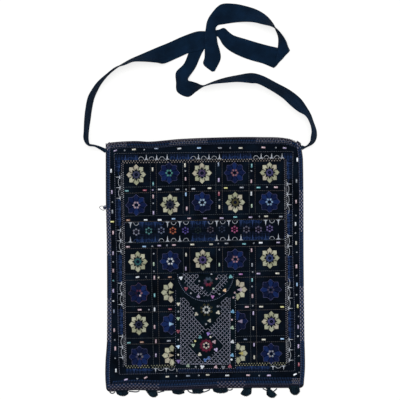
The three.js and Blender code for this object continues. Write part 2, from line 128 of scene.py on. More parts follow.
# Strap stations: edge a, edge b and how far the middle arches up
STRAP_LEFT = [
    ((-149.8, 167.3, 3.6), (-149.8, 172.8, 1.2), 0),
    ((-157.5, 172.2, 9), (-158.7, 176.3, 0.9), 0),
    ((-165, 176.3, 17), (-166.2, 178.2, 0.9), 0),
    ((-173.7, 177.5, 24.5), (-173.1, 179.7, 0.9), 0),
    ((-178.3, 181.2, 26.4), (-174.4, 183.4, 0.9), 0),
    ((-181, 188.2, 26.2), (-175, 189.2, 0.9), 0),
    ((-180.6, 198.5, 26.2), (-174.6, 198.5, 0.9), 0),
    ((-179.7, 217.2, 25.8), (-172, 217.2, 0.9), 0),
    ((-178, 232.2, 25.6), (-170, 231.8, 0.9), 0),
    ((-174.3, 249.8, 25.5), (-166.2, 249, 0.9), 0),
    ((-167.5, 262.2, 25.8), (-160.5, 261.8, 0.9), 0),
    ((-160, 272.2, 26.2), (-155, 271.5, 0.9), 0),
    ((-146.5, 284, 26.8), (-144, 284.6, 0.9), 0),
    ((-132.5, 294.2, 26.9), (-132.5, 294.2, 0.9), 0),
    ((-119.5, 298.2, 26.6), (-120.3, 302, 0.9), 0),
    ((-108, 302.5, 26.2), (-110.6, 307.6, 0.9), 0),
    ((-91.5, 303, 24), (-95.6, 314.1, 0.9), 0),
    ((-72, 301.8, 17.5), (-79.1, 321.1, 0.9), 0),
    ((-62.3, 300.8, 9), (-70.1, 324.9, 0.9), 0),
    ((-43.5, 308.5, 1.2), (-52.8, 332, 0.9), 0),
    ((-24, 317, 2.8), (-33.8, 340.5, 2.4), 0),
    ((-3, 322.5, 2.9), (-11.3, 348.2, 2.9), 0),
    ((5, 330, 2.9), (1.5, 348.6, 2.9), 0),
]
STRAP_RIGHT = [
    ((-7, 344.5, 0.9), (5.5, 334.5, 0.9), 0),
    ((-21.5, 322.3, 0.9), (-5.6, 315.3, 0.9), 0.4),
    ((-31, 300.3, 0.9), (-14.8, 294.6, 1.6), 2),
    ((-43, 287, 0.9), (-24.9, 280, 6), 2),
    ((-42.8, 273, 0.9), (-26, 276.5, 13), 0),
    ((-41.3, 258.9, 0.9), (-25.3, 274.2, 15), 0),
    ((-25, 251.2, 0.9), (-20, 272.7, 14.8), 0),
    ((-13.5, 258.8, 0.9), (-12, 270, 24.3), 0),
    ((-2.3, 266.5, 0.9), (-2.3, 266.5, 26.9), 0),
    ((10, 272, 0.9), (10.5, 269.4, 26.8), 0),
    ((25.5, 277.8, 0.9), (27.5, 271, 25.9), 0),
    ((47.5, 282.6, 0.9), (48.8, 272.6, 24.9), 0),
    ((70.7, 285.8, 0.9), (69.8, 270.9, 22.6), 0),
    ((85.4, 282.2, 0.9), (78, 270.3, 23.3), 0),
    ((105.6, 272, 0.9), (96, 261.6, 23.3), 0),
    ((128.2, 259.6, 0.9), (116.4, 248.4, 22.5), 0),
    ((143.2, 247.4, 0.9), (130.7, 235.3, 21.7), 0),
    ((152.3, 234.8, 0.9), (140.3, 228, 22.9), 0),
    ((158.3, 224.6, 0.9), (149.9, 222.2, 25.5), 0),
    ((162, 214.5, 0.9), (155.9, 213, 26.1), 0),
    ((167, 199.5, 0.9), (159.4, 199.5, 25.8), 0),
    ((166.8, 189, 0.9), (158.3, 190, 25.6), 0),
    ((162.5, 181, 0.9), (157.2, 183.2, 22), 0),
    ((150.9, 174.8, 0.9), (150.5, 176, 11), 0),
    ((146.1, 171.6, 1.2), (145.3, 177.3, 3.8), 0),
]
STRAP_BOW = [
    ((10.5, 349.5, 2.9), (9, 339.7, 2.9), 0),
    ((20, 350.7, 2.9), (18.8, 341.5, 2.9), 0),
    ((28.2, 353.4, 2.5), (21.8, 338.3, 2.3), 0),
    ((35.8, 347.3, 1.8), (27.3, 329.2, 1.5), 0),
    ((42.5, 342.6, 0.9), (37.2, 320.3, 0.9), 0),
    ((60, 337, 0.9), (54.5, 311.4, 0.9), 0),
    ((77.7, 331.6, 0.9), (70.2, 305.8, 0.9), 0),
    ((94.7, 327, 0.9), (87.5, 301, 0.9), 0),
    ((120.2, 321.4, 0.9), (99.8, 295.9, 0.9), 0),
    ((126.6, 319.8, 2.6), (103.7, 294.8, 2.6), 0),
    ((124.3, 325, 4.6), (106, 307, 4.4), 0),
    ((121.2, 332.3, 18), (109.3, 322.5, 3.4), 0),
    ((115.5, 341.6, 25), (110, 339.5, 1.2), 0),
    ((105.8, 352, 26.9), (105.8, 352, 0.9), 0),
    ((98.3, 355.5, 26.5), (101.3, 361.5, 0.9), 0),
    ((87, 358.5, 22.5), (92.3, 371.7, 0.9), 0),
    ((73.5, 362, 18.5), (78.8, 380.3, 0.9), 0),
    ((60, 363.2, 11), (63, 385.7, 0.9), 0),
    ((45, 362.6, 2), (43.5, 389.7, 0.9), 0),
    ((27, 360, 0.9), (23.7, 388.7, 0.9), 0),
    ((19.5, 358.5, 2.6), (10.8, 376.2, 2.4), 1),
    ((16, 354.8, 4.8), (3.7, 363.9, 4.6), 2.4),
    ((15.5, 351, 5.2), (1.3, 350.5, 5.2), 2.6),
    ((17, 341, 5.2), (-0.8, 339, 5.2), 2.6),
    ((18.5, 330.8, 5), (-0.3, 327, 5), 1.6),
    ((21.3, 321, 3.8), (0, 319.5, 4), 0.8),
    ((23.1, 312, 1.4), (-0.2, 309.8, 1.6), 0),
    ((22.2, 305.2, 0.9), (-2.1, 300.2, 0.9), 0),
    ((14, 288.9, 0.9), (11, 288.4, 0.9), 0),
]

# Bands of the strap: piece, solid, stations and seed of the creases
STRAP_BANDS = [
    ("strap_band_left", "strap_left", STRAP_LEFT, 3),
    ("strap_band_right", "strap_right", STRAP_RIGHT, 4),
    ("strap_band_bow", "strap_bow", STRAP_BOW, 5),
]

# Tufts along the hem: x, width, tip x, tip width, depth, overlap on the hem, lift
TUFTS = [
    (-123.9, 19.8, -123.3, 12, 8.6, 0, 0),
    (-80.1, 17.4, -76.5, 10.5, 10.6, 0, 0),
    (-39.8, 19.5, -39.6, 14, 6.8, 0, 0),
    (-10.5, 18, -10, 14, 6.8, 0, 0),
    (23.3, 24, 24, 16, 7.8, 0, 0),
    (63.9, 14, 60.8, 15, 13, 0, 0),
    (95.4, 7, 100.8, 14.5, 15.6, 0, 0),
    (133.5, 15.8, 135, 13, 11.4, 5, 5.4),
]
TUFT_HEIGHT = 2.9
LOCK_RADIUS = 2.5
LOCK_FLATNESS = 0.9
TIP_ROUNDING = 0.5

# Ends of a lock, in parts of its radius: how far they round over, from where, and inset of the tip
LOCK_ROUND, LOCK_ROUND_FROM, LOCK_TIP_INSET = 0.5, 0.75, 0.3

# Small tuft on the left edge
SIDE_TUFT_X, SIDE_TUFT_Y, SIDE_TUFT_DEPTH = -148.6, 84.8, 4.6
SIDE_TUFT_WIDTH, SIDE_TIP_WIDTH = 7.0, 4.0
SIDE_TUFT_OVERLAP = 1.5
SIDE_LOCK_RADIUS = 1.2

# Threads of a tuft: size, number and seed, how they crowd to its outside, fray, thin, bend and differ
STRAND_RADIUS, STRAND_POINTS, STRAND_SIDES = 0.4, 6, 4
HEM_STRANDS, HEM_SEED = 240, 40
SIDE_STRANDS, SIDE_SEED = 110, 77
EDGE_CROWDING, OUTSIDE_CROWDING = 1.12, 1.2
STRAND_FRAY = 0.06
STRAND_BEND = 0.2
STRAND_THINNING = (1.0, 0.8)
STRAND_SIZES = (0.85, 1.15)
LOCK_SWELL = (0.85, 1.0, 0.82)
HEM_TUFT_SHADES = ("#0a1720", "#0c1c28", "#102532", "#08131b")
SIDE_TUFT_SHADES = ("#101a30", "#141f3a", "#141f3a", "#8a8ea0")

# Fine cord that hangs in loops along the hem, by its route
HEM_CORDS = [
    ((-26.2, -188.6), (-24.6, -190.8), (-20.5, -193), (-14, -194)),
    ((7.4, -187.9), (4.2, -189.8), (0.5, -191.2), (-4, -192.4)),
    ((86.4, -186.6), (89.4, -188), (93, -190)),
    ((107.8, -186.6), (105.5, -188.8), (101, -192.6)),
    ((-142.8, -191.4), (-141, -193.4), (-137.4, -193.6), (-135, -191.4)),
    ((-114, -190.6), (-108, -191.4), (-102, -191.5), (-98.2, -189.8)),
    ((-71.6, -191.6), (-69, -192.4), (-66, -191.4), (-61, -190.4)),
    ((33.6, -188), (36, -189), (39, -188.7), (41.4, -187)),
]
CORD_RADIUS = 0.85
CORD_STEPS, CORD_SIDES = 8, 8

# Fine thread in a loop by the side tuft, which droops to the surface: x, y and height
SIDE_THREAD = [
    (-151.0, 86.4, 2.9), (-154.0, 87.0, 2.3), (-156.6, 86.7, 1.3), (-158.4, 85.0, 0.6),
    (-156.9, 83.0, 0.5), (-154.5, 81.4, 0.7), (-152.4, 80.6, 1.5), (-150.8, 81.8, 2.6),
]
SIDE_THREAD_RADIUS = 0.38


# Shapes that the solids and the scene share

def smooth(value):
    t = np.clip(value, 0, 1)
    return t * t * (3 - 2 * t)


def unit(vectors, least=0.0):
    """Vectors at length one. A least length is added where some may have none."""
    return vectors / (np.linalg.norm(vectors, axis=-1, keepdims=True) + least)


def heading(turn):
    """A flat vector of length one, this far round."""
    return np.array([math.cos(turn), math.sin(turn)])


def across(ways):
    """Flat vectors turned a quarter turn to the left."""
    return np.stack([-ways[..., 1], ways[..., 0]], -1)


def run_along(points):
    """Distance along a route at each of its points."""
    return np.concatenate([[0], np.cumsum(np.linalg.norm(np.diff(points, axis=0), axis=1))])


def places_at(marks, run, points):
    """Places on a route at these distances along it."""
    return np.stack([np.interp(marks, run, points[:, axis]) for axis in range(points.shape[1])], -1)


def place_of(columns, rows):
    """x and y in mm of squares on the chart."""
    return (np.asarray(columns) - CHART_COLUMN) * SQUARE, (CHART_ROW - np.asarray(rows)) * SQUARE


def chart_of(x, y):
    """Column and row on the chart of places in mm."""
    return np.stack([np.asarray(x) / SQUARE + CHART_COLUMN, CHART_ROW - np.asarray(y) / SQUARE], 1)


def along(rows, at):
    """Smooth curve through a table's rows, flat beyond its ends."""
    table = np.array(rows, float)
    places, edges = table[:, 0], table[:, 1]
    last = len(places) - 1
    index = np.arange(last + 1)
    before, after = np.maximum(index - 1, 0), np.minimum(index + 1, last)
    slopes = (edges[after] - edges[before]) / (places[after] - places[before])
    at = np.clip(at, places[0], places[-1])
    i = np.clip(np.searchsorted(places, at) - 1, 0, last - 1)
    span = places[i + 1] - places[i]
    t = (at - places[i]) / span
    rise = edges[i + 1] - edges[i]
    bend0 = slopes[i] * span - rise
    bend1 = rise - slopes[i + 1] * span
    return edges[i] + rise * t + t * (1 - t) * (bend0 * (1 - t) + bend1 * t)


def left_side(y):
    return along(LEFT_SIDE, y)


def right_side(y):
    return along(RIGHT_SIDE, y)


def mouth(x):
    return along(MOUTH, x)


def hem(x):
    return along(HEM, x)


def front_top(x, y):
    """Top of the front panel: low at the seams, up to its full rise inside them, with soft dents."""
    inset = BINDING_WIDTH + GAP
    share = smooth((x - left_side(y) - inset) / RISE_REACH)
    share = share * smooth((right_side(y) - inset - x) / RISE_REACH)
    share = share * smooth((y - hem(x) - inset) / RISE_REACH)
    lift = np.full(np.shape(x), FRONT_RISE)
    for dent_x, dent_y, radius, depth in DENTS:
        lift = lift + depth * np.exp(-((x - dent_x) ** 2 + (y - dent_y) ** 2) / radius ** 2)
    return SEAM_TOP + lift * share


def bag_top(x, y):
    """Top of the braid near the seams, and of the front panel inside them."""
    edge = np.minimum(np.minimum(x - left_side(y), right_side(y) - x), y - hem(x))
    parts, heights = np.array(BRAID_SECTION).T
    braid = np.interp(edge / BINDING_WIDTH, parts, heights)
    return np.where(edge < BINDING_WIDTH, braid, front_top(x, y))


def pocket_under(x, y):
    side = smooth(np.minimum(x - POCKET_LEFT, POCKET_RIGHT - x) / POCKET_REACH)
    bottom = smooth((y - POCKET_BOTTOM) / POCKET_REACH)
    return front_top(x, y) + GAP + POCKET_LIFT * side * bottom


def pocket_top(x, y):
    return pocket_under(x, y) + POCKET_WALL


def flap_under(x, y):
    climb = smooth((FLAP_ROOT - y) / FLAP_CLIMB)
    low = front_top(x, y) + GAP
    high = pocket_top(x, y) + FLAP_CLEARANCE
    return low + (np.maximum(low, high) - low) * climb


def flap_top(x, y):
    return flap_under(x, y) + FLAP_WALL


# Materials

# Cotton: roughness, wander of its threads, painted shade in the gaps and painted light on the threads, relief
# in mm, places of three dyes
COTTON_ROUGHNESS = 0.95
WEAVE_WANDER = 1.2
WEAVE_PAINTED_SHADE = (0.72, 1.1)
WEAVE_BUMP, WEAVE_RELIEF = 0.5, 0.3
DYE_STOPS = (0.32, 0.52, 0.72)
DYE_DETAIL, DYE_ROUGHNESS = 4.0, 0.65

# Floss: size of its twist in mm, painted shade that darkens its grooves and lightens its ridges, and relief
# in mm
TWIST_SIZE, TWIST_DETAIL = 0.6, 2.0
TWIST_PAINTED_SHADE = (0.8, 1.15)
TWIST_BUMP, TWIST_RELIEF = 0.3, 0.1

# Bead glass: its surface, and the size in mm and shades of its clouds
BEAD_SURFACE = {"Roughness": 0.16, "IOR": 1.5, "Coat Weight": 0.5, "Coat Roughness": 0.06}
CLOUD_SIZE, CLOUD_DETAIL = 2.0, 1.0
CLOUD_SHADES = (0.85, 1.1)


def linear(hex_colour):
    """An sRGB hex colour as linear red, green, blue and alpha."""
    parts = [int(hex_colour[i:i + 2], 16) / 255 for i in (1, 3, 5)]
    light = [p / 12.92 if p <= 0.04045 else ((p + 0.055) / 1.055) ** 2.4 for p in parts]
    return (*light, 1.0)


def add_node(tree, kind, inputs=None, links=None, **settings):
    """A node with its settings, the values of its inputs and the links into it."""
    made = tree.nodes.new(kind)
    for key, value in settings.items():
        setattr(made, key, value)
    for key, value in (inputs or {}).items():
        made.inputs[key].default_value = value
    for key, source in (links or {}).items():
        tree.links.new(source, made.inputs[key])
    return made


def new_material(name, surface):
    """A material, its tree and its shader, with these values on the shader's own sockets."""
    material = bpy.data.materials.new(name)
    material.use_nodes = True
    shader = material.node_tree.nodes["Principled BSDF"]
    for key, value in surface.items():
        shader.inputs[key].default_value = value
    return material, material.node_tree, shader


def bands(spacing_mm):
    """Scale of a wave texture whose bands are this far apart."""
    return math.tau / 20 / (spacing_mm * MM)


def shade_by(tree, shader, colour, pattern, shades):
    """Base colour of a shader: a colour that a pattern darkens and brightens."""
    limits = {"To Min": shades[0], "To Max": shades[1]}
    shade = add_node(tree, "ShaderNodeMapRange", limits, {"Value": pattern})
    shaded = add_node(
        tree, "ShaderNodeVectorMath", links={0: colour, 1: shade.outputs["Result"]}, operation="MULTIPLY",
    )
    tree.links.new(shaded.outputs["Vector"], shader.inputs["Base Color"])


def dyed_one_by_one(tree, shader, grain_mm, detail, shades):
    """Base colour that each strand or bead brings with it, a little uneven at the size of its grain. Where
    the grain also drives relief, as on the floss, this unevenness is painted shade.
    """
    dyed = add_node(tree, "ShaderNodeAttribute", attribute_name="thread")
    coordinates = add_node(tree, "ShaderNodeTexCoord")
    grain = add_node(
        tree, "ShaderNodeTexNoise", {"Scale": 1 / (grain_mm * MM), "Detail": detail},
        {"Vector": coordinates.outputs["Object"]},
    )
    shade_by(tree, shader, dyed.outputs["Color"], grain.outputs["Fac"], shades)
    return grain.outputs["Fac"]


def woven_cotton(name, dark, mid, light, spacing_mm, patch_mm, sheen, follow_uv=False):
    """Plain-weave dyed cotton: matt and dark, with crossing threads, slightly uneven dye and painted shade in
    the gaps between its threads.

    Its threads are drawn coarser than real ones so that they show.
    """
    material, tree, shader = new_material(name, {"Roughness": COTTON_ROUGHNESS, "Specular IOR Level": sheen})
    coordinates = add_node(tree, "ShaderNodeTexCoord")
    place = coordinates.outputs["UV" if follow_uv else "Object"]
    weave = []
    for direction in ("X", "Y"):
        wave = add_node(
            tree, "ShaderNodeTexWave",
            {"Scale": bands(spacing_mm), "Distortion": WEAVE_WANDER, "Detail": 1.0},
            {"Vector": place}, wave_type="BANDS", bands_direction=direction,
        )
        weave.append(wave.outputs["Fac"])
    crossing = add_node(tree, "ShaderNodeMath", links={0: weave[0], 1: weave[1]}, operation="MAXIMUM")
    dye = add_node(
        tree, "ShaderNodeTexNoise",
        {"Scale": 1 / (patch_mm * MM), "Detail": DYE_DETAIL, "Roughness": DYE_ROUGHNESS},
        {"Vector": coordinates.outputs["Object"]},
    )
    ramp = add_node(tree, "ShaderNodeValToRGB", links={"Fac": dye.outputs["Fac"]})
    stops = ramp.color_ramp.elements
    stops[0].position, stops[1].position = DYE_STOPS[0], DYE_STOPS[2]
    stops.new(DYE_STOPS[1])
    for stop, colour in zip(stops, (dark, mid, light)):
        stop.color = linear(colour)
    # Painted shade and light: the gaps between the threads are darker and the threads lighter, in step with
    # the relief below.
    shade_by(tree, shader, ramp.outputs["Color"], crossing.outputs[0], WEAVE_PAINTED_SHADE)
    bump = add_node(
        tree, "ShaderNodeBump", {"Strength": WEAVE_BUMP, "Distance": WEAVE_RELIEF * MM},
        {"Height": crossing.outputs[0]},
    )
    tree.links.new(bump.outputs["Normal"], shader.inputs["Normal"])
    return material


def embroidery_thread(name, roughness, gloss):
    """Mercerised cotton floss: soft gloss along each strand, the colour dyed strand by strand, with painted
    shade in the grooves of its twist.
    """
    material, tree, shader = new_material(name, {"Roughness": roughness, "Specular IOR Level": gloss})
    # Painted shade: the twist's grain darkens the colour where the relief below is low and lightens it where
    # it is high.
    twist = dyed_one_by_one(tree, shader, TWIST_SIZE, TWIST_DETAIL, TWIST_PAINTED_SHADE)
    bump = add_node(
        tree, "ShaderNodeBump", {"Strength": TWIST_BUMP, "Distance": TWIST_RELIEF * MM}, {"Height": twist},
    )
    tree.links.new(bump.outputs["Normal"], shader.inputs["Normal"])
    return material


def bead_glass(name):
    """Pressed glass beads with a bright lustre: smooth and glossy, coloured all through."""
    material, tree, shader = new_material(name, BEAD_SURFACE)
    dyed_one_by_one(tree, shader, CLOUD_SIZE, CLOUD_DETAIL, CLOUD_SHADES)
    return material


# Cottons: name, dark, middle and light dye, spacing of threads and size of dye patches in mm, sheen
GROUND_CLOTH = woven_cotton("black_navy_cotton", "#04070c", "#070d16", "#0a1521", 1.3, 26, 0.02)
POCKET_CLOTH = woven_cotton("black_green_cotton", "#040a0e", "#081118", "#0b1a22", 1.3, 18, 0.02)
BACK_CLOTH = woven_cotton("navy_cotton_back", "#0a1320", "#0e1a29", "#122335", 1.3, 40, 0.06)
BRAID_CLOTH = woven_cotton("dark_braid_cotton", "#0c0e18", "#121622", "#191e30", 1.1, 14, 0.06)
STRAP_CLOTH = woven_cotton(
    "navy_cotton_strap", "#051323", "#081a2d", "#0b2139", 1.2, 30, 0.06, follow_uv=True,
)

# Threads by name, roughness and gloss, and glass by name
FLOSS = embroidery_thread("dyed_cotton_floss", 0.6, 0.12)
TUFT_THREAD = embroidery_thread("dark_tuft_thread", 0.8, 0.08)
GLASS = bead_glass("lustre_glass")


# Meshes

def make_piece(name, points, faces, material, slot=None, replaces=(), colours=None, uv=None):
    """A finished piece from places in millimetres and arrays of faces, riding on the bag."""
    mesh = bpy.data.meshes.new(name)
    corners = np.concatenate([part.ravel() for part in faces])
    sizes = np.concatenate([np.full(len(part), part.shape[1]) for part in faces])
    mesh.vertices.add(len(points))
    mesh.vertices.foreach_set("co", (np.asarray(points) * MM).astype(np.float32).ravel())
    mesh.loops.add(len(corners))
    mesh.loops.foreach_set("vertex_index", corners.astype(np.int32))
    mesh.polygons.add(len(sizes))
    mesh.polygons.foreach_set("loop_start", (np.cumsum(sizes) - sizes).astype(np.int32))
    mesh.update(calc_edges=True)
    mesh.polygons.foreach_set("use_smooth", np.ones(len(sizes), bool))
    if uv is not None:
        layer = mesh.uv_layers.new(name="cloth")
        layer.data.foreach_set("uv", (uv[corners] * MM).astype(np.float32).ravel())
    if colours is not None:
        dyed = mesh.color_attributes.new(name="thread", type="FLOAT_COLOR", domain="POINT")
        dyed.data.foreach_set("color", colours.astype(np.float32).ravel())
    mesh.materials.append(material)
    piece = bpy.data.objects.new(name, mesh)
    bpy.context.scene.collection.objects.link(piece)
    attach(piece, BODY)
    if replaces:
        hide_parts(*replaces)
    return piece


def sheet_faces(rows, columns):
    """Faces of a closed sheet: a grid of places, the same grid again below it and the sides between them."""
    index = np.arange(rows * columns).reshape(rows, columns)
    top = np.stack([index[:-1, :-1], index[:-1, 1:], index[1:, 1:], index[1:, :-1]], -1).reshape(-1, 4)
    below = index.size
    rim = np.concatenate([index[0, :-1], index[:-1, -1], index[-1, :0:-1], index[:0:-1, 0]])
    following = np.roll(rim, -1)
    sides = np.stack([rim + below, following + below, following, rim], -1)
    return [top, top[:, ::-1] + below, sides]


def ring_faces(strands, rings, corners):
    """Faces of closed strands, each a row of rings: the walls between the rings and the two ends."""
    index = np.arange(strands * rings * corners).reshape(strands, rings, corners)
    following = np.roll(index, -1, axis=2)
    walls = np.stack([index[:, :-1], index[:, 1:], following[:, 1:], following[:, :-1]], -1).reshape(-1, 4)
    return [walls, np.concatenate([index[:, 0], index[:, -1, ::-1]])]


def flipped(faces):
    """Faces that point the other way."""
    return [part[:, ::-1] for part in faces]


def cloth_piece(name, x, y, top, thickness, material, **how):
    """A closed sheet of cloth over a grid of places."""
    upper = np.stack([x, y, top], -1).reshape(-1, 3)
    points = np.concatenate([upper, upper - (0, 0, thickness)])
    return make_piece(name, points, sheet_faces(*x.shape), material, **how)


def tubes(routes, radii, sides):
    """Round strands along their routes: routes is strands by points by 3, radii strands by points."""
    ahead = unit(np.gradient(routes, axis=1), LEAST)
    side = unit(np.cross(ahead, UP), LEAST)
    over = np.cross(side, ahead)
    turn = np.arange(sides) / sides * math.tau
    ring = side[:, :, None] * np.cos(turn)[:, None] + over[:, :, None] * np.sin(turn)[:, None]
    places = routes[:, :, None] + ring * radii[:, :, None, None]
    return places.reshape(-1, 3), ring_faces(*routes.shape[:2], sides)


# Cloth of the bag

def panel_grid(columns, rows, mouth_step):
    """Places of a panel between the braid's inner edges, up to this far below the mouth."""
    inset = BINDING_WIDTH + GAP
    s, t = np.meshgrid(np.linspace(0, 1, columns), np.linspace(0, 1, rows))
    guide = left_side(0.0) + inset + (right_side(0.0) - left_side(0.0) - 2 * inset) * s
    low, high = hem(guide) + inset, mouth(guide) - mouth_step
    y = low + (high - low) * t
    x = left_side(y) + inset + (right_side(y) - left_side(y) - 2 * inset) * s
    return x, y


def puckers(x, y):
    """Shallow ripples that dense stitching pulls into cloth."""
    along_x = np.sin(x * PUCKER_TURNS[0] + PUCKER_WANDER[0] * np.sin(y * PUCKER_BENDS[0]))
    along_y = np.sin(y * PUCKER_TURNS[1] + PUCKER_WANDER[1] * np.sin(x * PUCKER_BENDS[1]))
    slant = np.sin(x * SLANT_TURNS[0] + y * SLANT_TURNS[1])
    return PUCKER_DEPTH * (along_x * along_y) + SLANT_DEPTH * slant


def make_panels():
    x, y = panel_grid(*FRONT_MESH, 0.0)
    front = cloth_piece(
        "front_cloth", x, y, front_top(x, y) + puckers(x, y), WALL, GROUND_CLOTH,
        slot="ground_cloth", replaces=("front_panel",),
    )
    x, y = panel_grid(*BACK_MESH, MOUTH_STEP)
    back = cloth_piece(
        "back_cloth", x, y, np.full(x.shape, WALL), WALL, BACK_CLOTH,
        slot="back_cloth", replaces=("back_panel",),
    )


def seam_route():
    """Outline down the left side, along the hem and up the right side, and the way in from each point."""
    radius = BINDING_WIDTH + GAP
    low_left = np.array([left_side(LOW_LEFT_CORNER[1]) + radius, hem(LOW_LEFT_CORNER[0]) + radius])
    low_right = np.array([right_side(LOW_RIGHT_CORNER[1]) - radius, hem(LOW_RIGHT_CORNER[0]) + radius])
    y_down = np.linspace(MOUTH[0][1], low_left[1] + CORNER_CLEARANCE, RUN_POINTS)
    x_along = np.linspace(low_left[0] + CORNER_CLEARANCE, low_right[0] - CORNER_CLEARANCE, RUN_POINTS)
    y_up = np.linspace(low_right[1] + CORNER_CLEARANCE, MOUTH[-1][1], RUN_POINTS)
    turns = []
    for centre, start in ((low_left, math.pi), (low_right, -math.pi / 2)):
        turn = start + np.linspace(0, math.pi / 2, CORNER_POINTS)
        turns.append(centre + radius * np.stack([np.cos(turn), np.sin(turn)], 1))
    outer = np.concatenate([
        np.stack([left_side(y_down), y_down], 1), turns[0],
        np.stack([x_along, hem(x_along)], 1), turns[1],
        np.stack([right_side(y_up), y_up], 1),
    ])
    return outer, across(unit(np.gradient(outer, axis=0)))


def make_braid():
    outer, inward = seam_route()
    inward = inward * BINDING_WIDTH
    inward[[0, -1], 1] += BRAID_END_SLANT
    section = [BRAID_SECTION[0], *BRAID_UNDERSIDE, *BRAID_SECTION[:0:-1]]
    rings = [
        np.column_stack([outer + inward * part, np.full(len(outer), height)]) for part, height in section
    ]
    points = np.stack(rings, 1).reshape(-1, 3)
    faces = flipped(ring_faces(1, len(outer), len(section)))
    make_piece("edge_braid", points, faces, BRAID_CLOTH, slot="braid", replaces=("edge_binding",))


def make_pocket():
    columns, rows = POCKET_MESH
    x, y = np.meshgrid(
        np.linspace(POCKET_LEFT, POCKET_RIGHT, columns), np.linspace(POCKET_BOTTOM, POCKET_MOUTH, rows),
    )
    wall = cloth_piece(
        "pocket_cloth", x, y, pocket_top(x, y) + puckers(x, y), POCKET_WALL, POCKET_CLOTH,
        slot="pocket_cloth", replaces=("pocket",),
    )
    columns, rows = FLAP_MESH
    turn, reach = np.meshgrid(
        np.linspace(math.pi, math.tau, columns), np.linspace(FLAP_RADIUS, FLAP_PINHOLE, rows),
    )
    x, y = FLAP_X + reach * np.cos(turn), FLAP_ROOT + reach * np.sin(turn)
    flap = cloth_piece(
        "flap_cloth", x, y, flap_top(x, y) + puckers(x, y), FLAP_WALL, POCKET_CLOTH,
        slot="pocket_cloth", replaces=("pocket_flap",),
    )


# Strap

def smooth_route(points, steps):
    """Smooth curve through a route's points, evenly stepped between them."""
    points = np.array(points, float)
    first, last = 2 * points[0] - points[1], 2 * points[-1] - points[-2]
    ring = np.concatenate([[first], points, [last]])
    gaps = np.maximum(np.linalg.norm(np.diff(ring, axis=0), axis=1) ** 0.5, LEAST_GAP)
    curve = []
    for i in range(1, len(ring) - 2):
        p0, p1, p2, p3 = ring[i - 1:i + 3]
        d0, d1, d2 = gaps[i - 1:i + 2]
        leave = d1 * ((p1 - p0) / d0 - (p2 - p0) / (d0 + d1) + (p2 - p1) / d1)
        arrive = d1 * ((p2 - p1) / d1 - (p3 - p1) / (d1 + d2) + (p3 - p2) / d2)
        t = (np.arange(steps) / steps)[:, None]
        rise = p2 - p1
        bend, curl = 3 * rise - 2 * leave - arrive, leave + arrive - 2 * rise
        curve.append(p1 + leave * t + bend * t ** 2 + curl * t ** 3)
    return np.concatenate([*curve, points[-1:]])


def strap_surface(stations):
    """Middle surface of a band: its places, its facing, its distance along and its part across."""
    a, b = [smooth_route([row[edge] for row in stations], STRAP_STEPS) for edge in (0, 1)]
    arch = np.interp(np.arange(len(a)) / STRAP_STEPS, np.arange(len(stations)), [row[2] for row in stations])
    middle = (a + b) / 2
    over = unit(b - a)
    facing = unit(np.cross(np.gradient(middle, axis=0), over))
    part = np.linspace(0, 1, STRAP_COLUMNS)
    widening = over[:, None] * (SELVEDGE * (2 * part - 1))[:, None]
    places = a[:, None] + (b - a)[:, None] * part[:, None] + widening
    places[..., 2] += arch[:, None] * 4 * part * (1 - part)
    return places, facing, run_along(middle), part


def face_outward(piece):
    """Turns all faces of a closed piece outward."""
    bpy.context.view_layer.objects.active = piece
    piece.select_set(True)
    bpy.ops.object.mode_set(mode="EDIT")
    bpy.ops.mesh.select_all(action="SELECT")
    bpy.ops.mesh.normals_make_consistent(inside=False)
    bpy.ops.object.mode_set(mode="OBJECT")
    piece.select_set(False)
    piece.data.update()


def make_strap(name, node, stations, seed):
    places, facing, run, part = strap_surface(stations)
    waves = np.random.default_rng(seed).uniform(0, math.tau, len(STRAP_CREASES))
    creases = np.zeros((len(run), len(part)))
    for (pitch, depth, lean), wave in zip(STRAP_CREASES, waves):
        ripple = np.sin(run[:, None] * pitch + (part - 0.5) * lean + wave)
        creases += depth * ripple * np.sin(part * math.pi) ** CREASE_FADE
    places = places + facing[:, None] * (creases * CREASE_SHARE)[..., None]
    taper = np.clip(np.minimum(part, 1 - part) * STRAP_EDGE_TAPER, STRAP_EDGE_LEAST, 1)
    half = STRAP_THICKNESS / 2 * taper + STRAP_HEM * (np.abs(part - 0.5) > STRAP_HEM_FROM)
    faces = [places + way * facing[:, None] * half[None, :, None] for way in (1, -1)]
    lift = max(SURFACE_CLEARANCE - min(face[..., 2].min() for face in faces), 0)
    for face in faces:
        face[..., 2] += lift
    spread = np.stack(np.broadcast_arrays(part * STRAP_WIDTH, run[:, None]), -1).reshape(-1, 2)
    band = make_piece(
        name, np.concatenate(faces).reshape(-1, 3), flipped(sheet_faces(len(run), len(part))), STRAP_CLOTH,
        slot="strap_cloth", replaces=(node,), uv=np.concatenate([spread, spread]),
    )
    face_outward(band)
    strap_seams(f"{name}_seams", faces, facing, run)


def strap_seams(name, faces, facing, run):
    """Running stitch near both edges, on both faces of the band."""
    marks = np.arange(STRAP_SEAM_MARGIN, run[-1] - STRAP_SEAM_MARGIN, STRAP_SEAM_STEP)
    starts, ends, ups = [], [], []
    for face, way in zip(faces, (1, -1)):
        for column in (STRAP_SEAM_COLUMN, STRAP_COLUMNS - 1 - STRAP_SEAM_COLUMN):
            starts.append(places_at(marks, run, face[:, column]))
            ends.append(places_at(marks + STRAP_SEAM_LENGTH, run, face[:, column]))
            ups.append(way * places_at(marks, run, facing))
    start, end, up = np.concatenate(starts), np.concatenate(ends), unit(np.concatenate(ups))
    plain_stitches(name, start, end, up, STRAP_SEAM_WIDTH, STRAP_SEAM_LAYER, STRAP_SEAM_RISE, "strap_seam")


# Embroidery: a stitch is a row of its two ends in chart squares, width, rise and layer in mm, colour

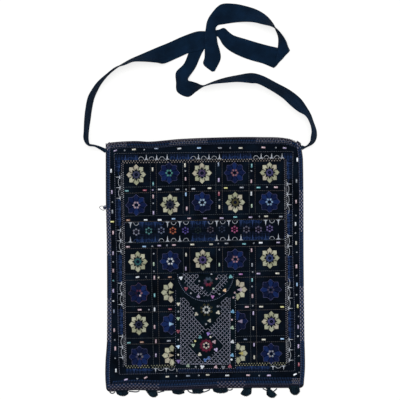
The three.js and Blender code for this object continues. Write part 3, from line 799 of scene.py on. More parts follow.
# Where a stitch has its full width, from each end, and how high its sides are beside its middle
STITCH_SHOULDER, STITCH_SIDE = 0.16, 0.08
DYE_SPREAD = (0.82, 1.15)

# Stars: tilt on the chart, turn from petal to petal, satin stitches in half a petal and how far these
# cross its axis
STAR_TILT = math.radians(-1.1)
STAR_PETALS = 8
PETAL_TURN = math.tau / STAR_PETALS
PETAL_ROWS = 17
PETAL_CROSSING = 0.35

# Flowers: stitches of a petal across its spread, how much shorter the outer ones are, and lean at the root
PETAL_STITCHES = (-1, -1 / 3, 1 / 3, 1)
PETAL_SHOULDER = 0.22
PETAL_ROOT = 0.5

# Spindles: drop of the slanted stitches, bars at the foot by height and half length, and points of an arch
STEM_DROP = 1.2
FOOT_BARS = [(0.0, 2.4), (0.55, 1.85)]
ARCH_LIFT, ARCH_POINTS = 0.2, 9


def stitch(work, start, end, colour, width=0.6, rise=0.5, layer=0.2):
    work.append((*start, *end, width, rise, layer, colour))


def back_stitch(work, points, colour, step=2.2, width=0.6, shrink=0.08, wander=0.0, **how):
    """A line of stitches end to end."""
    points = np.array(points, float)
    run = run_along(points)
    count = max(1, round(run[-1] / step))
    knots = places_at(np.linspace(0, run[-1], count + 1), run, points)
    if wander:
        knots += chance.normal(0, wander, (2, len(knots))).T
    for a, b in zip(knots, knots[1:]):
        stitch(work, a + (b - a) * shrink, b - (b - a) * shrink, colour, width, **how)


def stretches(start, end, pale_spans):
    """Parts of a line, each with its two ends and whether it lies in a pale span."""
    start, end = np.array(start, float), np.array(end, float)
    axis = int(abs(end[1] - start[1]) > abs(end[0] - start[0]))
    limits = [limit for span in pale_spans for limit in span if start[axis] < limit < end[axis]]
    marks = [start[axis], *limits, end[axis]]
    parts = []
    for low, high in zip(marks, marks[1:]):
        near, far = [start + (end - start) * (at - start[axis]) / (end - start)[axis] for at in (low, high)]
        parts.append((near, far, any(a <= (low + high) / 2 <= b for a, b in pale_spans)))
    return parts


def star_petals(work, centre, petal_shape, colours, layer, stretch=(1.0, 1.0), petals=range(STAR_PETALS)):
    """Pointed petals in fishbone satin stitch, eight to a whole star.

    Rows of the shape are the reach on the petal's axis, the reach on its edge and the half width there.
    """
    tops, edges, halves = np.array(petal_shape).T
    for petal in petals:
        way = heading(STAR_TILT + petal * PETAL_TURN)
        axis, side = way * stretch, across(way) * stretch
        colour = colours[int(chance.integers(len(colours)))]
        for top in np.linspace(tops[0], tops[-1], PETAL_ROWS):
            edge, half = np.interp(top, tops, edges), np.interp(top, tops, halves)
            crossing = min(half, PETAL_CROSSING)
            for hand in (-1, 1):
                near, far = axis * top - side * hand * crossing, axis * edge + side * hand * half
                stitch(work, centre + near, centre + far, colour, width=0.85, rise=0.55, layer=layer)


def flower(work, centre, hole, radius, petals, colours, layer, spread=0.34, width=0.7, step_in=0.5):
    """Small round petals around an open middle, in colours that follow each other round."""
    for petal in range(petals):
        turn = STAR_TILT + (petal + step_in) * math.tau / petals
        colour = colours[petal % len(colours)]
        for part in PETAL_STITCHES:
            near = hole * heading(turn + spread * part * PETAL_ROOT)
            far = radius * (1 - PETAL_SHOULDER * abs(part)) * heading(turn + spread * part)
            stitch(work, centre + near, centre + far, colour, width, rise=0.6, layer=layer)


def dotted(work, points, colours, step, rows, spacing, width, **how):
    """Rows of short stitches side by side, each row half a step on from the last, in mixed colours."""
    points = np.array(points, float)
    run = run_along(points)
    side = across(unit(points[-1] - points[0]))
    half = step / 2
    for row in range(rows):
        shift = side * (row - (rows - 1) / 2) * spacing
        for mark in np.arange(half * (row % 2), run[-1] - half, step):
            near, far = places_at(np.array([mark, mark + half]), run, points) + shift
            colour = colours[int(chance.integers(len(colours)))]
            stitch(work, near, far, colour, width, **how)


def wedge(work, base, apex, row, colour, layer):
    """A small triangle of satin stitch that narrows from its base to its apex."""
    for part in np.linspace(0, 1, WEDGE_STITCHES):
        column = base + (apex - base) * part
        reach = WEDGE_HALF * (1 - WEDGE_TAPER * part)
        stitch(work, (column, row - reach), (column, row + reach), colour, width=1.1, layer=layer)


def star_outline(work, centre, colour, petals=range(STAR_PETALS + 1)):
    """A line around a star, from tip to notch to tip."""
    corners = np.arange(2 * petals[0], 2 * petals[-1] + 1)
    turns = STAR_TILT + corners * PETAL_TURN / 2
    reach = np.where(corners % 2, STAR_NOTCH, STAR_TIP)
    ring = np.stack([centre[0] + reach * np.cos(turns), centre[1] + reach * np.sin(turns)], 1)
    back_stitch(work, ring, colour, step=1.7, width=0.6, shrink=0.02, layer=0.35)


def arch_band(work, start, end, outward, uprights, stem, arch, pale_spans):
    """Spindles on a base line with round arches between them, in pale thread along some spans.

    A stem is its height and lean, an arch its half length and height.
    """
    start, end = np.array(start, float), np.array(end, float)
    ahead = unit(end - start)
    outward = np.array(outward, float)
    axis = int(abs(ahead[1]) > abs(ahead[0]))
    stem_height, stem_lean = stem
    arch_half, arch_height = arch

    def foot(place):
        return start + ahead * (place - start[axis]) / ahead[axis]

    def thread(place):
        pale = any(low <= place <= high for low, high in pale_spans)
        return THREADS["white" if pale else "band_bright"]

    for place, following in zip(uprights, [*uprights[1:], None]):
        base, colour = foot(place), thread(place)
        for slant in (-1, 0, 1):
            tip = base + outward * (stem_height - STEM_DROP * abs(slant))
            stitch(work, base + ahead * slant * stem_lean, tip, colour, width=0.8, layer=0.3)
        for height, half in FOOT_BARS:
            level = base + outward * height
            stitch(work, level - ahead * half, level + ahead * half, colour, width=0.85, layer=0.35)
        if following is not None:
            middle = (place + following) / 2
            turns = np.linspace(0.0, math.pi, ARCH_POINTS)[:, None]
            height = ARCH_LIFT + arch_height * np.sin(turns)
            ring = foot(middle) + ahead * arch_half * np.cos(turns) + outward * height
            back_stitch(work, ring, thread(middle), step=1.2, width=1.0, shrink=0.02, layer=0.3)
    for low, high in pale_spans:
        back_stitch(work, [foot(low), foot(high)], THREADS["base_line"], step=2.0, width=0.45, layer=0.25)


def stitch_mesh(name, start, end, side, up, layer, rise, dyes, surface=None):
    """One mesh of stitches: low at both ends and raised along the middle."""
    near = start + (end - start) * STITCH_SHOULDER
    far = start + (end - start) * (1 - STITCH_SHOULDER)
    places = np.stack([start, near + side, near, near - side, far + side, far, far - side, end], 1)
    if surface:
        places[..., 2] = surface(places[..., 0], places[..., 1])
    heights = np.array([0.0, STITCH_SIDE, 1.0, STITCH_SIDE, STITCH_SIDE, 1.0, STITCH_SIDE, 0.0])
    lift = layer[:, None] + rise[:, None] * heights
    points = (places + up[:, None] * lift[..., None]).reshape(-1, 3)
    first = (np.arange(len(start)) * len(heights))[:, None, None]
    thin = np.array([[0, 2, 1], [0, 3, 2], [0, 1, 3], [7, 4, 5], [7, 5, 6], [7, 6, 4]])
    wide = np.array([[1, 2, 5, 4], [2, 3, 6, 5], [3, 1, 4, 6]])
    faces = [(first + thin).reshape(-1, 3), (first + wide).reshape(-1, 4)]
    make_piece(name, points, faces, FLOSS, slot="thread", colours=np.repeat(dyes, len(heights), axis=0))


def plain_stitches(name, start, end, up, width, layer, rise, thread):
    """A mesh of stitches that share their sizes and their thread."""
    count = len(start)
    side = unit(np.cross(up, end - start)) * width / 2
    dyes = np.tile(linear(THREADS[thread]), (count, 1))
    stitch_mesh(name, start, end, side, up, np.full(count, layer), np.full(count, rise), dyes)


# Ends of the strap on the bag: last station, the one before it, edge of the bag and way in
STRAP_ENDS = [
    (STRAP_LEFT[0], STRAP_LEFT[1], left_side, 1),
    (STRAP_RIGHT[-1], STRAP_RIGHT[-2], right_side, -1),
]
JOINT_STITCHES, JOINT_MARGIN, JOINT_REACH, JOINT_LIFT = 8, 0.04, 1.7, 0.9
JOINT_WIDTH, JOINT_LAYER, JOINT_RISE = 1.1, 0.1, 0.6


def make_strap_joints():
    """Overcast stitches from the ends of the strap over the edge of the bag."""
    starts, ends = [], []
    for last, before, side_of, inward in STRAP_ENDS:
        for part in np.linspace(JOINT_MARGIN, 1 - JOINT_MARGIN, JOINT_STITCHES):
            tip, behind = [np.array(row[0]) * (1 - part) + np.array(row[1]) * part for row in (last, before)]
            starts.append(tip + unit(behind - tip) * JOINT_REACH + UP * JOINT_LIFT)
            x = float(side_of(tip[1])) + inward * JOINT_REACH
            ends.append((x, tip[1], float(bag_top(x, tip[1]))))
    start, end = np.array(starts), np.array(ends)
    up = np.tile(UP, (len(start), 1))
    plain_stitches("strap_joints", start, end, up, JOINT_WIDTH, JOINT_LAYER, JOINT_RISE, "strap_joint")


def sew(name, work, surface):
    """All stitches of a list, laid on a surface of the bag."""
    sizes = np.array([row[:7] for row in work], float)
    palette = {row[7]: linear(row[7]) for row in work}
    dyes = np.array([palette[row[7]] for row in work])
    dyes[:, :3] *= chance.uniform(*DYE_SPREAD, (len(work), 1))
    flat = np.zeros(len(work))
    start, end = [np.column_stack([*place_of(sizes[:, k], sizes[:, k + 1]), flat]) for k in (0, 2)]
    width, rise, layer = sizes[:, 4:].T
    up = np.tile(UP, (len(work), 1))
    side = unit(np.cross(up, end - start), LEAST) * width[:, None] / 2
    stitch_mesh(name, start, end, side, up, layer, rise, dyes, surface)


# Threads of the embroidery, the sewing and the cords
THREADS = {
    "cream": "#a0a28e", "cream_light": "#adad98", "cream_warm": "#a6a191", "cream_green": "#94967e",
    "star_spoke": "#77786e", "star_middle": "#0d1640",
    "star_blue": "#0a1b48", "star_blue_dark": "#081538", "star_blue_bright": "#122a60",
    "star_line": "#585a86", "star_line_red": "#64506c",
    "white": "#b2b8c2", "base_line": "#7c828c",
    "band_blue": "#0d1c38", "band_light": "#172f5a", "band_bright": "#273c66",
    "bar": "#5a5656", "bar_cool": "#50585e", "line": "#5c606c", "line_bright": "#747a8c",
    "chain_dark": "#2a2836", "navy": "#13213a", "navy_bright": "#1d365c", "purple": "#1c1b2b",
    "edge_line": "#6c6c7a", "ladder": "#72707a",
    "edge_dot": "#8c8a98", "left_dot": "#7c7a88", "hem_dot": "#66626f",
    "hem_line": "#585a66", "seam": "#232d48",
    "mouth_grey": "#454453", "mouth_plum": "#363242", "mouth_navy": "#18253d", "mouth_slate": "#2d354a",
    "tuft": "#0c1b27", "cord": "#141e2c", "strap_seam": "#142a3e", "strap_joint": "#12263a",
    "lattice": "#b6b8ce", "flap_line": "#7c88a0",
    "pocket_left": "#8a8ea6", "pocket_hem": "#9a9cb0", "pocket_right": "#b4b8c6",
}

# Ropes around the squares: the threads of each side in its plain and in its pale spans
ROPE_BROWN = ("#8a827c", "#7a7470", "#928c8a")
ROPE_GREY = ("#74727c", "#64606a", "#7a7a84")
ROPE_PALE = ("#a4a6ae", "#8c8e98", "#b4b8c0")
ROPE_OLIVE = ("#868870", "#7a7c68", "#8c8670")

# They are drawn coarser than real ones so that they show.
ROPE_CHECK = (2.7, 2, 1.75, 1.7)
SIDE_ROPE_CHECK = (1.9, 2, 1.5, 1.5)

# Petals of the stars: reach on the axis, reach on the edge and half width there
CREAM_PETAL = [(7.3, 4.0, 1.7), (8.5, 7.4, 3.05), (10.1, 10.0, 0.15)]
HALF_CREAM_PETAL = [(5.6, 3.2, 1.3), (8.5, 7.4, 3.05), (10.1, 10.0, 0.15)]
CREAM_STRETCH = (0.95, 1.03)
BLUE_PETAL = [(1.9, 1.4, 0.6), (6.9, 6.4, 2.65), (7.8, 7.3, 2.85), (10.0, 9.6, 0.7)]
CREAM_LAYER, BLUE_LAYER = 0.25, 0.2

# Line around a blue star, and the hole, radius, petals, layer and width of the flower on it
STAR_TIP, STAR_NOTCH = 10.9, 8.2
BLUE_FLOWER_HOLE, BLUE_FLOWER_RADIUS, BLUE_FLOWER_PETALS = 1.8, 4.4, 6
BLUE_FLOWER_LAYER, BLUE_FLOWER_WIDTH = 0.75, 0.65

# Spokes in the middle of a cream star: part of a petal's turn, near and far reach, width in mm
STAR_RING = [(0.5, 1.7, 3.9, 1.15), (0.0, 1.5, 3.9, 0.95)]
STAR_SPOKE = (0.5, 3.7, 4.9, 1.1)
MIDDLE_HALF, MIDDLE_WIDTH = 0.6, 1.7

# Stars on the chart: column, row, colour of the ring or colours of the flower in the middle
CREAM_STARS = [
    (136.4, 174.8, "#4e5272"), (202.0, 173.2, "#5c5078"), (269.5, 172.6, "#5a588c"),
    (170.2, 204.6, "#34384e"), (235.2, 202.4, "#5a5636"),
    (138.0, 261.6, "#3f767c"), (202.8, 259.8, "#645890"), (269.6, 258.0, "#48588c"),
    (139.0, 324.3, "#2b2f4e"), (271.2, 321.2, "#5a568e"),
]
BLUE_STARS = [
    (169.2, 173.1, ("#64a89c",)), (234.6, 172.8, ("#a87a80",)),
    (136.4, 205.1, ("#c8b4c0",)), (202.3, 202.4, ("#b9d3e6",)), (269.2, 201.9, ("#a8cae8",)),
    (170.4, 261.2, ("#e6edf2",)), (235.2, 259.2, ("#b48c98",)),
    (138.9, 293.0, ("#a47880", "#e8dee2", "#341c2c", "#2c1c30", "#5c2c40", "#804854")),
    (270.6, 289.5, ("#50506a", "#564e62")),
    (139.7, 356.3, ("#8a8480", "#4e3e48", "#484250", "#585870", "#a0a0b4", "#9a9aa4")),
    (271.0, 353.4, ("#8c94a4", "#b4c0c8", "#a49c9c", "#c4c4cc", "#b0b4c0", "#a8acb8")),
]
RED_LINED_STARS = (7,)

# Half stars beside the pocket: column, row, way that their whole side points, apex and colour of the wedge
CREAM_HALF_STARS = [
    (170.8, 292.1, -1, 173.2, "#b2b294"), (172.0, 355.0, -1, 173.5, "#aea48e"),
    (237.3, 289.5, 1, 237.4, "#b0a2b8"), (237.9, 353.0, 1, 239.0, "#b0a868"),
]
BLUE_HALF_STARS = [(171.4, 323.8, -1, 173.4, "#9cbede"), (237.3, 321.0, 1, 238.0, "#968aa2")]
CREAM_HALF_PETALS = {-1: range(2, 7), 1: range(-2, 3)}
BLUE_HALF_PETALS = {-1: range(1, 8), 1: range(-2, 3)}
WEDGE_LENGTH, WEDGE_HALF = 3.9, 2.3
WEDGE_STITCHES, WEDGE_TAPER = 7, 0.8
CREAM_WEDGE_LAYER, BLUE_WEDGE_LAYER = 0.6, 0.75

# Pairs of lines between the squares, each a route on the chart
BAR_LINES = [
    [(150.4, 163), (150.9, 214.5)], [(156.2, 163), (156.9, 214.5)],
    [(151.1, 248), (153.6, 364.5)], [(157.2, 248), (159.6, 364.5)],
    [(182.7, 162.5), (183.2, 214)], [(189.0, 162.5), (189.5, 214)],
    [(183.2, 247), (184.4, 362)], [(189.7, 247), (190.8, 362)],
    [(215.5, 162), (216.2, 213.5)], [(222.0, 162), (222.3, 213.5)],
    [(216.3, 246), (217.4, 362)], [(222.4, 246), (223.5, 362)],
    [(248.7, 161.5), (249.2, 213)], [(254.8, 161.5), (255.1, 213)],
    [(249.2, 245.5), (250.9, 362.5)], [(255.1, 245.5), (256.7, 362.5)],
    [(124, 187.3), (205, 185.3), (285, 184.6)], [(124, 193.3), (205, 191.1), (285, 190.6)],
    [(124, 216.2), (205, 214.7), (284.5, 213.3)], [(124, 222), (205, 220), (284.5, 218.9)],
    [(124.5, 243), (205, 241.3), (285, 239.6)], [(124.5, 248.5), (205, 247.3), (285, 245.7)],
    [(125, 274), (205, 272), (286, 270.3)], [(125, 280.2), (205, 278), (286, 276.3)],
    [(125.3, 306.3), (286, 303.3)], [(125.3, 312.3), (286, 309.1)],
    [(126, 338.1), (286.5, 335.2)], [(126, 343.9), (286.5, 341.2)],
]

# Corners of the inner rope line and the thin outer line
ROPE_CORNERS = [(122.4, 162.1), (285.1, 159.7), (287.1, 363.3), (125.4, 366.6)]
OUTER_LINE = [
    [(114.3, 153.6), (292.9, 151.4)],
    [(292.9, 151.4), (292.4, 185.0), (292.4, 250.0), (294.4, 312.0), (294.6, 370.7)],
    [(294.6, 370.7), (119.4, 374.0)],
    [(119.4, 374.0), (114.3, 153.6)],
]

# Sides of the blue band: base start and end, way out, first upright, pitch, count, stem height and lean,
# arch half length and height, pale spans
BAND_SIDES = [
    ((114.8, 160.1), (292.4, 158.1), (0, -1), 125.6, 10.42, 16, (5.3, 0.55), (2.5, 2.7),
     ((139, 170), (193, 222), (250.7, 283))),
    ((119.9, 160.2), (123.4, 367.0), (-1, 0), 166.5, 10.6, 19, (4.5, 0.25), (4.2, 1.7),
     ((172, 199), (226, 255), (282, 308.6), (334.5, 367))),
    ((286.7, 158.4), (288.9, 365.0), (1, 0), 163.3, 10.35, 20, (4.8, 0.25), (4.2, 1.6),
     ((179, 210), (235, 255.5), (282, 311), (338.5, 365))),
    ((126.0, 368.7), (287.0, 365.4), (0, 1), 134.4, 10.65, 15, (4.2, 0.4), (2.9, 2.0),
     ((151, 178), (269, 287))),
]
FLOWER_STEM, FLOWER_ARCH = (5.9, 0.55), (2.5, 2.9)

# Blue filling: how far out its rows lie, and where its bright rows end, beside the squares and the flowers
BAND_FILL, BAND_BRIGHT = (0.2, 1.1, 2.0, 2.9, 3.8, 4.7), 2.4
FLOWER_FILL, FLOWER_BRIGHT = (0.3, 1.3, 2.3, 3.4, 4.6, 6.0, 7.6), 3.0

# Band of flowers: column, row, colours of the petals and of the middle
BAND_FLOWERS = [
    (136.4, 231.9, "#8c90a2", "#1c1a2e"), (148.9, 230.8, "#5a8c90", "#0c2c34"),
    (161.4, 230.4, "#707a94", "#1a1a36"), (172.9, 230.6, "#b0684e", "#5a1c14"),
    (185.4, 230.4, "#5e5498", "#281a70"), (198.0, 230.2, "#1c2c2e", "#101820"),
    (210.3, 229.7, "#4e4a5a", "#201a28"), (221.8, 229.0, "#2c3850", "#141a2c"),
    (234.5, 229.4, "#a85c86", "#6c1448"), (246.3, 229.4, "#68687a", "#221e30"),
    (258.4, 229.4, "#68627e", "#2e2238"), (269.5, 228.4, "#746a9c", "#2a1c58"),
]
BAND_FLOWER_HOLE, BAND_FLOWER_RADIUS, BAND_FLOWER_PETALS = 1.9, 4.2, 6
BAND_MIDDLE_HALF, BAND_MIDDLE_WIDTH = 1.1, 2.4
FLOWER_UPRIGHTS = [130.6, 142.2, 155.3, 167.6, 179.8, 192.3, 204.4, 216.7, 228.7, 240.9, 252.5, 265.5, 278.2]

# The two sides of that band: base start and end, way in, pale spans
FLOWER_SIDES = [
    ((124.0, 222.6), (284.5, 219.6), 1, ((125, 138.5), (162, 190), (210, 239), (260, 284))),
    ((124.5, 242.3), (285.0, 239.0), -1, ((125, 136), (160, 192), (216, 242), (270, 284))),
]

# Patches of pale stitching on the edging, by column or row
MOUTH_PATCHES = ((106, 127), (170, 208), (256, 292))
LEFT_PATCHES = ((143, 152), (208, 256), (298, 342))
RIGHT_PATCHES = ((143, 150), (190, 232), (286, 342))
HEM_PATCHES = ((108, 160), (217, 246))
HEM_LADDER = (292, 300)

# Overlapping stitches that join the braid to the front, by side and reach on the chart
JOINING_SEAMS = {"left": (143.5, 389), "right": (143, 386), "hem": (107.5, 302)}
SEAM_OFFSET = (BINDING_WIDTH + GAP / 2) / SQUARE
HEM_LINE = (112, 298)

# Stripes of the edging: reach along each side, then squares in from the outline and thread
EDGE_REACHES = {"mouth": (106.2, 300.5), "left": (146, 388), "right": (146, 385), "hem": (108.5, 301)}
EDGE_STRIPES = {
    "mouth": [
        (0.7, "mouth_grey"), (1.7, "mouth_plum"), (2.6, "mouth_navy"), (3.5, "navy_bright"),
        (4.4, "mouth_navy"), (5.3, "mouth_slate"), (6.3, "mouth_slate"),
    ],
    "left": [
        (0.5, "chain_dark"), (1.3, "navy"), (2.1, "navy_bright"), (2.9, "navy_bright"), (3.6, "navy_bright"),
    ],
    "right": [
        (0.5, "chain_dark"), (1.3, "navy_bright"), (2.1, "navy_bright"), (2.9, "navy"), (3.6, "navy_bright"),
    ],
    "hem": [
        (0.5, "chain_dark"), (1.3, "purple"), (2.2, "chain_dark"), (3.1, "purple"), (4.8, "navy"),
        (5.7, "navy_bright"), (6.6, "navy_bright"), (7.5, "navy"), (8.4, "navy"), (9.3, "navy"),
        (10.2, "navy_bright"),
    ],
}
STRIPE_MITRE = 0.4

# Ladders of the edging: squares in from the outline of their lines, and step of their rungs
MOUTH_LADDER_START = 107
MOUTH_LADDER_LINES, MOUTH_RUNGS = (1.0, 2.9, 4.8), 3.2
HEM_LADDER_LINES, HEM_RUNGS = (4.6, 6.3, 8.0, 9.6), 2.2

# Dots of the edging, drawn coarser than real ones so that they show:
# side, patches, squares in from the outline, step, rows, spacing, width and thread
EDGE_DOTS = [
    ("left", LEFT_PATCHES, 2.0, 3.8, 3, 1.5, 1.5, "left_dot"),
    ("right", RIGHT_PATCHES, 2.1, 3.8, 3, 1.5, 1.5, "edge_dot"),
    ("hem", HEM_PATCHES, 4.2, 3.8, 4, 1.7, 1.5, "hem_dot"),
    ("left", [(150, 386)], 4.3, 2.0, 1, 1.0, 0.9, "edge_line"),
    ("right", [(150, 384)], 4.2, 2.0, 1, 1.0, 0.9, "edge_line"),
]

# Stitches over the heads of the tufts: step, how they draw together, and reach above and below the hem in mm
HEAD_STEP, HEAD_GATHER, HEAD_ABOVE, HEAD_BELOW = 1.2, 0.9, 1.8, 1.7

# Stitches of the bands and the edging. Those of the joining seam overlap, so their shrink is below zero.
FILL_STITCH = {"step": 3.0, "width": 1.1, "shrink": 0.02, "wander": 0.08, "layer": 0.12}
STRIPE_STITCH = {"step": 2.6, "width": 1.15, "shrink": 0.03, "wander": 0.06, "layer": 0.12}
SEAM_STITCH = {"step": 3.0, "width": 1.6, "shrink": -0.3, "layer": 0.1}
HEM_LINE_STITCH = {"step": 2.4, "width": 0.5, "shrink": 0.05, "wander": 0.05, "layer": 0.4}
LADDER_STITCH = {"step": 2.2, "width": 0.7, "shrink": 0.06, "wander": 0.05, "layer": 0.4}
RUNG_STITCH = {"width": 0.8, "layer": 0.4}
HEAD_STITCH = {"width": 1.4, "layer": 0.25}


def make_stars():
    cream, blue = [], []
    cream_threads = [THREADS[shade] for shade in ("cream", "cream_light", "cream_warm", "cream_green")]
    blue_threads = [THREADS[shade] for shade in ("star_blue", "star_blue_dark", "star_blue_bright")]
    for column, row, ring in CREAM_STARS:
        star_petals(cream, (column, row), CREAM_PETAL, cream_threads, CREAM_LAYER, CREAM_STRETCH)
        spokes = [(*spoke, ring) for spoke in STAR_RING] + [(*STAR_SPOKE, THREADS["star_spoke"])]
        for part, near, far, width, colour in spokes:
            for petal in range(STAR_PETALS):
                way = heading(STAR_TILT + (petal + part) * PETAL_TURN)
                start, end = (column, row) + way * near, (column, row) + way * far
                stitch(cream, start, end, colour, width, layer=CREAM_LAYER)
        start, end = (column - MIDDLE_HALF, row), (column + MIDDLE_HALF, row)
        stitch(cream, start, end, THREADS["star_middle"], MIDDLE_WIDTH, rise=0.4, layer=CREAM_LAYER)
    for column, row, way, apex, colour in CREAM_HALF_STARS:
        petals = CREAM_HALF_PETALS[way]
        star_petals(cream, (column, row), HALF_CREAM_PETAL, cream_threads, CREAM_LAYER, CREAM_STRETCH, petals)
        wedge(cream, apex + way * WEDGE_LENGTH, apex, row, colour, CREAM_WEDGE_LAYER)
    for number, (column, row, colours) in enumerate(BLUE_STARS):
        star_petals(blue, (column, row), BLUE_PETAL, blue_threads, BLUE_LAYER)
        line = "star_line_red" if number in RED_LINED_STARS else "star_line"
        star_outline(blue, (column, row), THREADS[line])
        flower(
            blue, (column, row), BLUE_FLOWER_HOLE, BLUE_FLOWER_RADIUS, BLUE_FLOWER_PETALS, colours,
            BLUE_FLOWER_LAYER, width=BLUE_FLOWER_WIDTH, step_in=0.0,
        )
    for column, row, way, apex, colour in BLUE_HALF_STARS:
        petals = BLUE_HALF_PETALS[way]
        star_petals(blue, (column, row), BLUE_PETAL, blue_threads, BLUE_LAYER, petals=petals)
        star_outline(blue, (column, row), THREADS["star_line"], petals)
        wedge(blue, apex + way * WEDGE_LENGTH, apex, row, colour, BLUE_WEDGE_LAYER)
    sew("cream_stars", cream, front_top)
    sew("blue_stars", blue, front_top)


def make_lines():
    work = []
    for k, route in enumerate(BAR_LINES):
        thread = THREADS["bar" if k % 2 else "bar_cool"]
        back_stitch(work, route, thread, step=2.0, width=0.62, wander=0.06)
    for k, route in enumerate(OUTER_LINE):
        thread = THREADS["line_bright" if k % 2 else "line"]
        back_stitch(work, route, thread, step=2.2, width=0.6, wander=0.06)
    top_left, top_right, low_right, low_left = ROPE_CORNERS
    sides = [
        (top_left, top_right, ROPE_BROWN, ROPE_BROWN, ROPE_CHECK),
        (top_left, low_left, ROPE_GREY, ROPE_PALE, SIDE_ROPE_CHECK),
        (top_right, low_right, ROPE_GREY, ROPE_PALE, SIDE_ROPE_CHECK),
        (low_left, low_right, ROPE_OLIVE, ROPE_OLIVE, ROPE_CHECK),
    ]
    for (start, end, plain, pale, check), band in zip(sides, BAND_SIDES):
        for near, far, is_pale in stretches(start, end, band[-1]):
            dotted(work, [near, far], pale if is_pale else plain, *check, layer=0.3)
    sew("couched_lines", work, front_top)


def fill_band(work, start, end, outward, pale_spans, depths, bright_to):
    """Rows of blue filling between the pale spans, brighter near the band's base."""
    for near, far, pale in stretches(start, end, pale_spans):
        for depth in () if pale else depths:
            shift = np.array(outward) * depth
            colour = THREADS["band_light" if depth < bright_to else "band_blue"]
            back_stitch(work, [near + shift, far + shift], colour, **FILL_STITCH)


def make_blue_band():
    work = []
    for start, end, outward, first, pitch, count, stem, arch, spans in BAND_SIDES:
        arch_band(work, start, end, outward, first + pitch * np.arange(count), stem, arch, spans)
        fill_band(work, start, end, outward, spans, BAND_FILL, BAND_BRIGHT)
    for start, end, way, spans in FLOWER_SIDES:
        arch_band(work, start, end, (0, way), FLOWER_UPRIGHTS, FLOWER_STEM, FLOWER_ARCH, spans)
        fill_band(work, start, end, (0, way), spans, FLOWER_FILL, FLOWER_BRIGHT)
    for column, row, colour, middle in BAND_FLOWERS:
        flower(
            work, (column, row), BAND_FLOWER_HOLE, BAND_FLOWER_RADIUS, BAND_FLOWER_PETALS, (colour,),
            layer=0.4, spread=0.32, width=0.8,
        )
        start, end = (column - BAND_MIDDLE_HALF, row), (column + BAND_MIDDLE_HALF, row)
        stitch(work, start, end, middle, BAND_MIDDLE_WIDTH, layer=0.3)
    sew("blue_bands", work, front_top)


def edge_line(side, offset, low, high, count=120):
    """A route along one side of the bag, this many squares inside its outline."""
    inset = offset * SQUARE
    x, y = place_of(np.linspace(low, high, count), np.linspace(low, high, count))
    if side in ("mouth", "hem"):
        return chart_of(x, mouth(x) - inset if side == "mouth" else hem(x) + inset)
    return chart_of(left_side(y) + inset if side == "left" else right_side(y) - inset, y)


def ladder(work, side, first, last, offsets, step):
    """Lines along a side with short rungs between them, staggered from one pair of lines to the next."""
    colour = THREADS["ladder"]
    for k, offset in enumerate(offsets):
        back_stitch(work, edge_line(side, offset, first, last, count=40), colour, **LADDER_STITCH)
        if k:
            for at in np.arange(first + step / 2 * (k % 2), last, step):
                near, far = [edge_line(side, inset, at, at, count=1)[0] for inset in offsets[k - 1:k + 1]]
                stitch(work, near, far, colour, **RUNG_STITCH)


def make_edging():
    work = []
    for side, stripes in EDGE_STRIPES.items():
        low, high = EDGE_REACHES[side]
        for offset, colour in stripes:
            route = edge_line(side, offset, low + offset * STRIPE_MITRE, high - offset * STRIPE_MITRE)
            back_stitch(work, route, THREADS[colour], **STRIPE_STITCH)
    for side, (low, high) in JOINING_SEAMS.items():
        route = edge_line(side, SEAM_OFFSET, low, high)
        back_stitch(work, route, THREADS["seam"], **SEAM_STITCH)
    route = edge_line("hem", SEAM_OFFSET, *HEM_LINE)
    back_stitch(work, route, THREADS["hem_line"], **HEM_LINE_STITCH)
    for first, last in MOUTH_PATCHES:
        ladder(work, "mouth", max(first, MOUTH_LADDER_START), last, MOUTH_LADDER_LINES, MOUTH_RUNGS)
    ladder(work, "hem", *HEM_LADDER, HEM_LADDER_LINES, HEM_RUNGS)
    for side, patches, middle, step, rows, spacing, width, colour in EDGE_DOTS:
        for first, last in patches:
            route = edge_line(side, middle, first, last, count=60)
            dotted(work, route, [THREADS[colour]], step, rows, spacing, width, layer=0.4)
    for x, width, *_ in TUFTS:
        for root in np.arange(x - width / 2, x + width / 2, HEAD_STEP):
            level = hem(root)
            gathered = x + (root - x) * HEAD_GATHER
            start, end = chart_of([root, gathered], [level + HEAD_ABOVE, level - HEAD_BELOW])
            stitch(work, start, end, THREADS["tuft"], **HEAD_STITCH)
    sew("edging", work, bag_top)


# Glass of the beads by its letter: white, cream, pink, lilac, grey, blue, teal, red, yellow, green, mauve,
# slate, brown, violet, ice, azure, deep blue and amber
GLASS_COLOURS = {
    "w": "#ccd2da", "c": "#b4b2a6", "p": "#aa929c", "l": "#988eae", "g": "#727882", "b": "#82a4c8",
    "t": "#5c949c", "r": "#8a4254", "y": "#c0be80", "n": "#90a492", "m": "#94609a", "k": "#5c6a80",
    "o": "#80604e", "u": "#7c66aa", "i": "#b4cee6", "a": "#70a8d0", "d": "#3c5c90", "e": "#c8aa8c",
}

# Sizes of the beads in mm with the height of their middles on the cloth, and how they differ in turn,
# size and shade
BUGLE_RADIUS, BUGLE_LENGTH, BUGLE_SIDES, BUGLE_HEIGHT = 1.3, 5.6, 10, 1.5
BUGLE_WALL, BUGLE_HOLE, BUGLE_ROUNDING = 0.6, 0.9, 0.3
ROUNDING_STEPS, SHARP_ANGLE = 2, 40
SEED_RING, SEED_RADIUS, SEED_HEIGHT = 0.75, 0.55, 0.8
SEED_SEGMENTS, SEED_SIDES = 10, 6
TRIO_RADIUS, TRIO_HEIGHT = 1.7, 1.5
TRIO_SEGMENTS, TRIO_RINGS = 8, 6
TRIO_HALF, TRIO_RISE, TRIO_DROP = 1.35, 0.9, 2.3
TRIO_SWAY = 15
BEAD_SIZES, BEAD_SHADES = (0.93, 1.07), (0.75, 1.2)
POCKET_SEED_SIZE = 1.25
MERGE_DISTANCE, SORTING_DIGITS = 0.02, 4

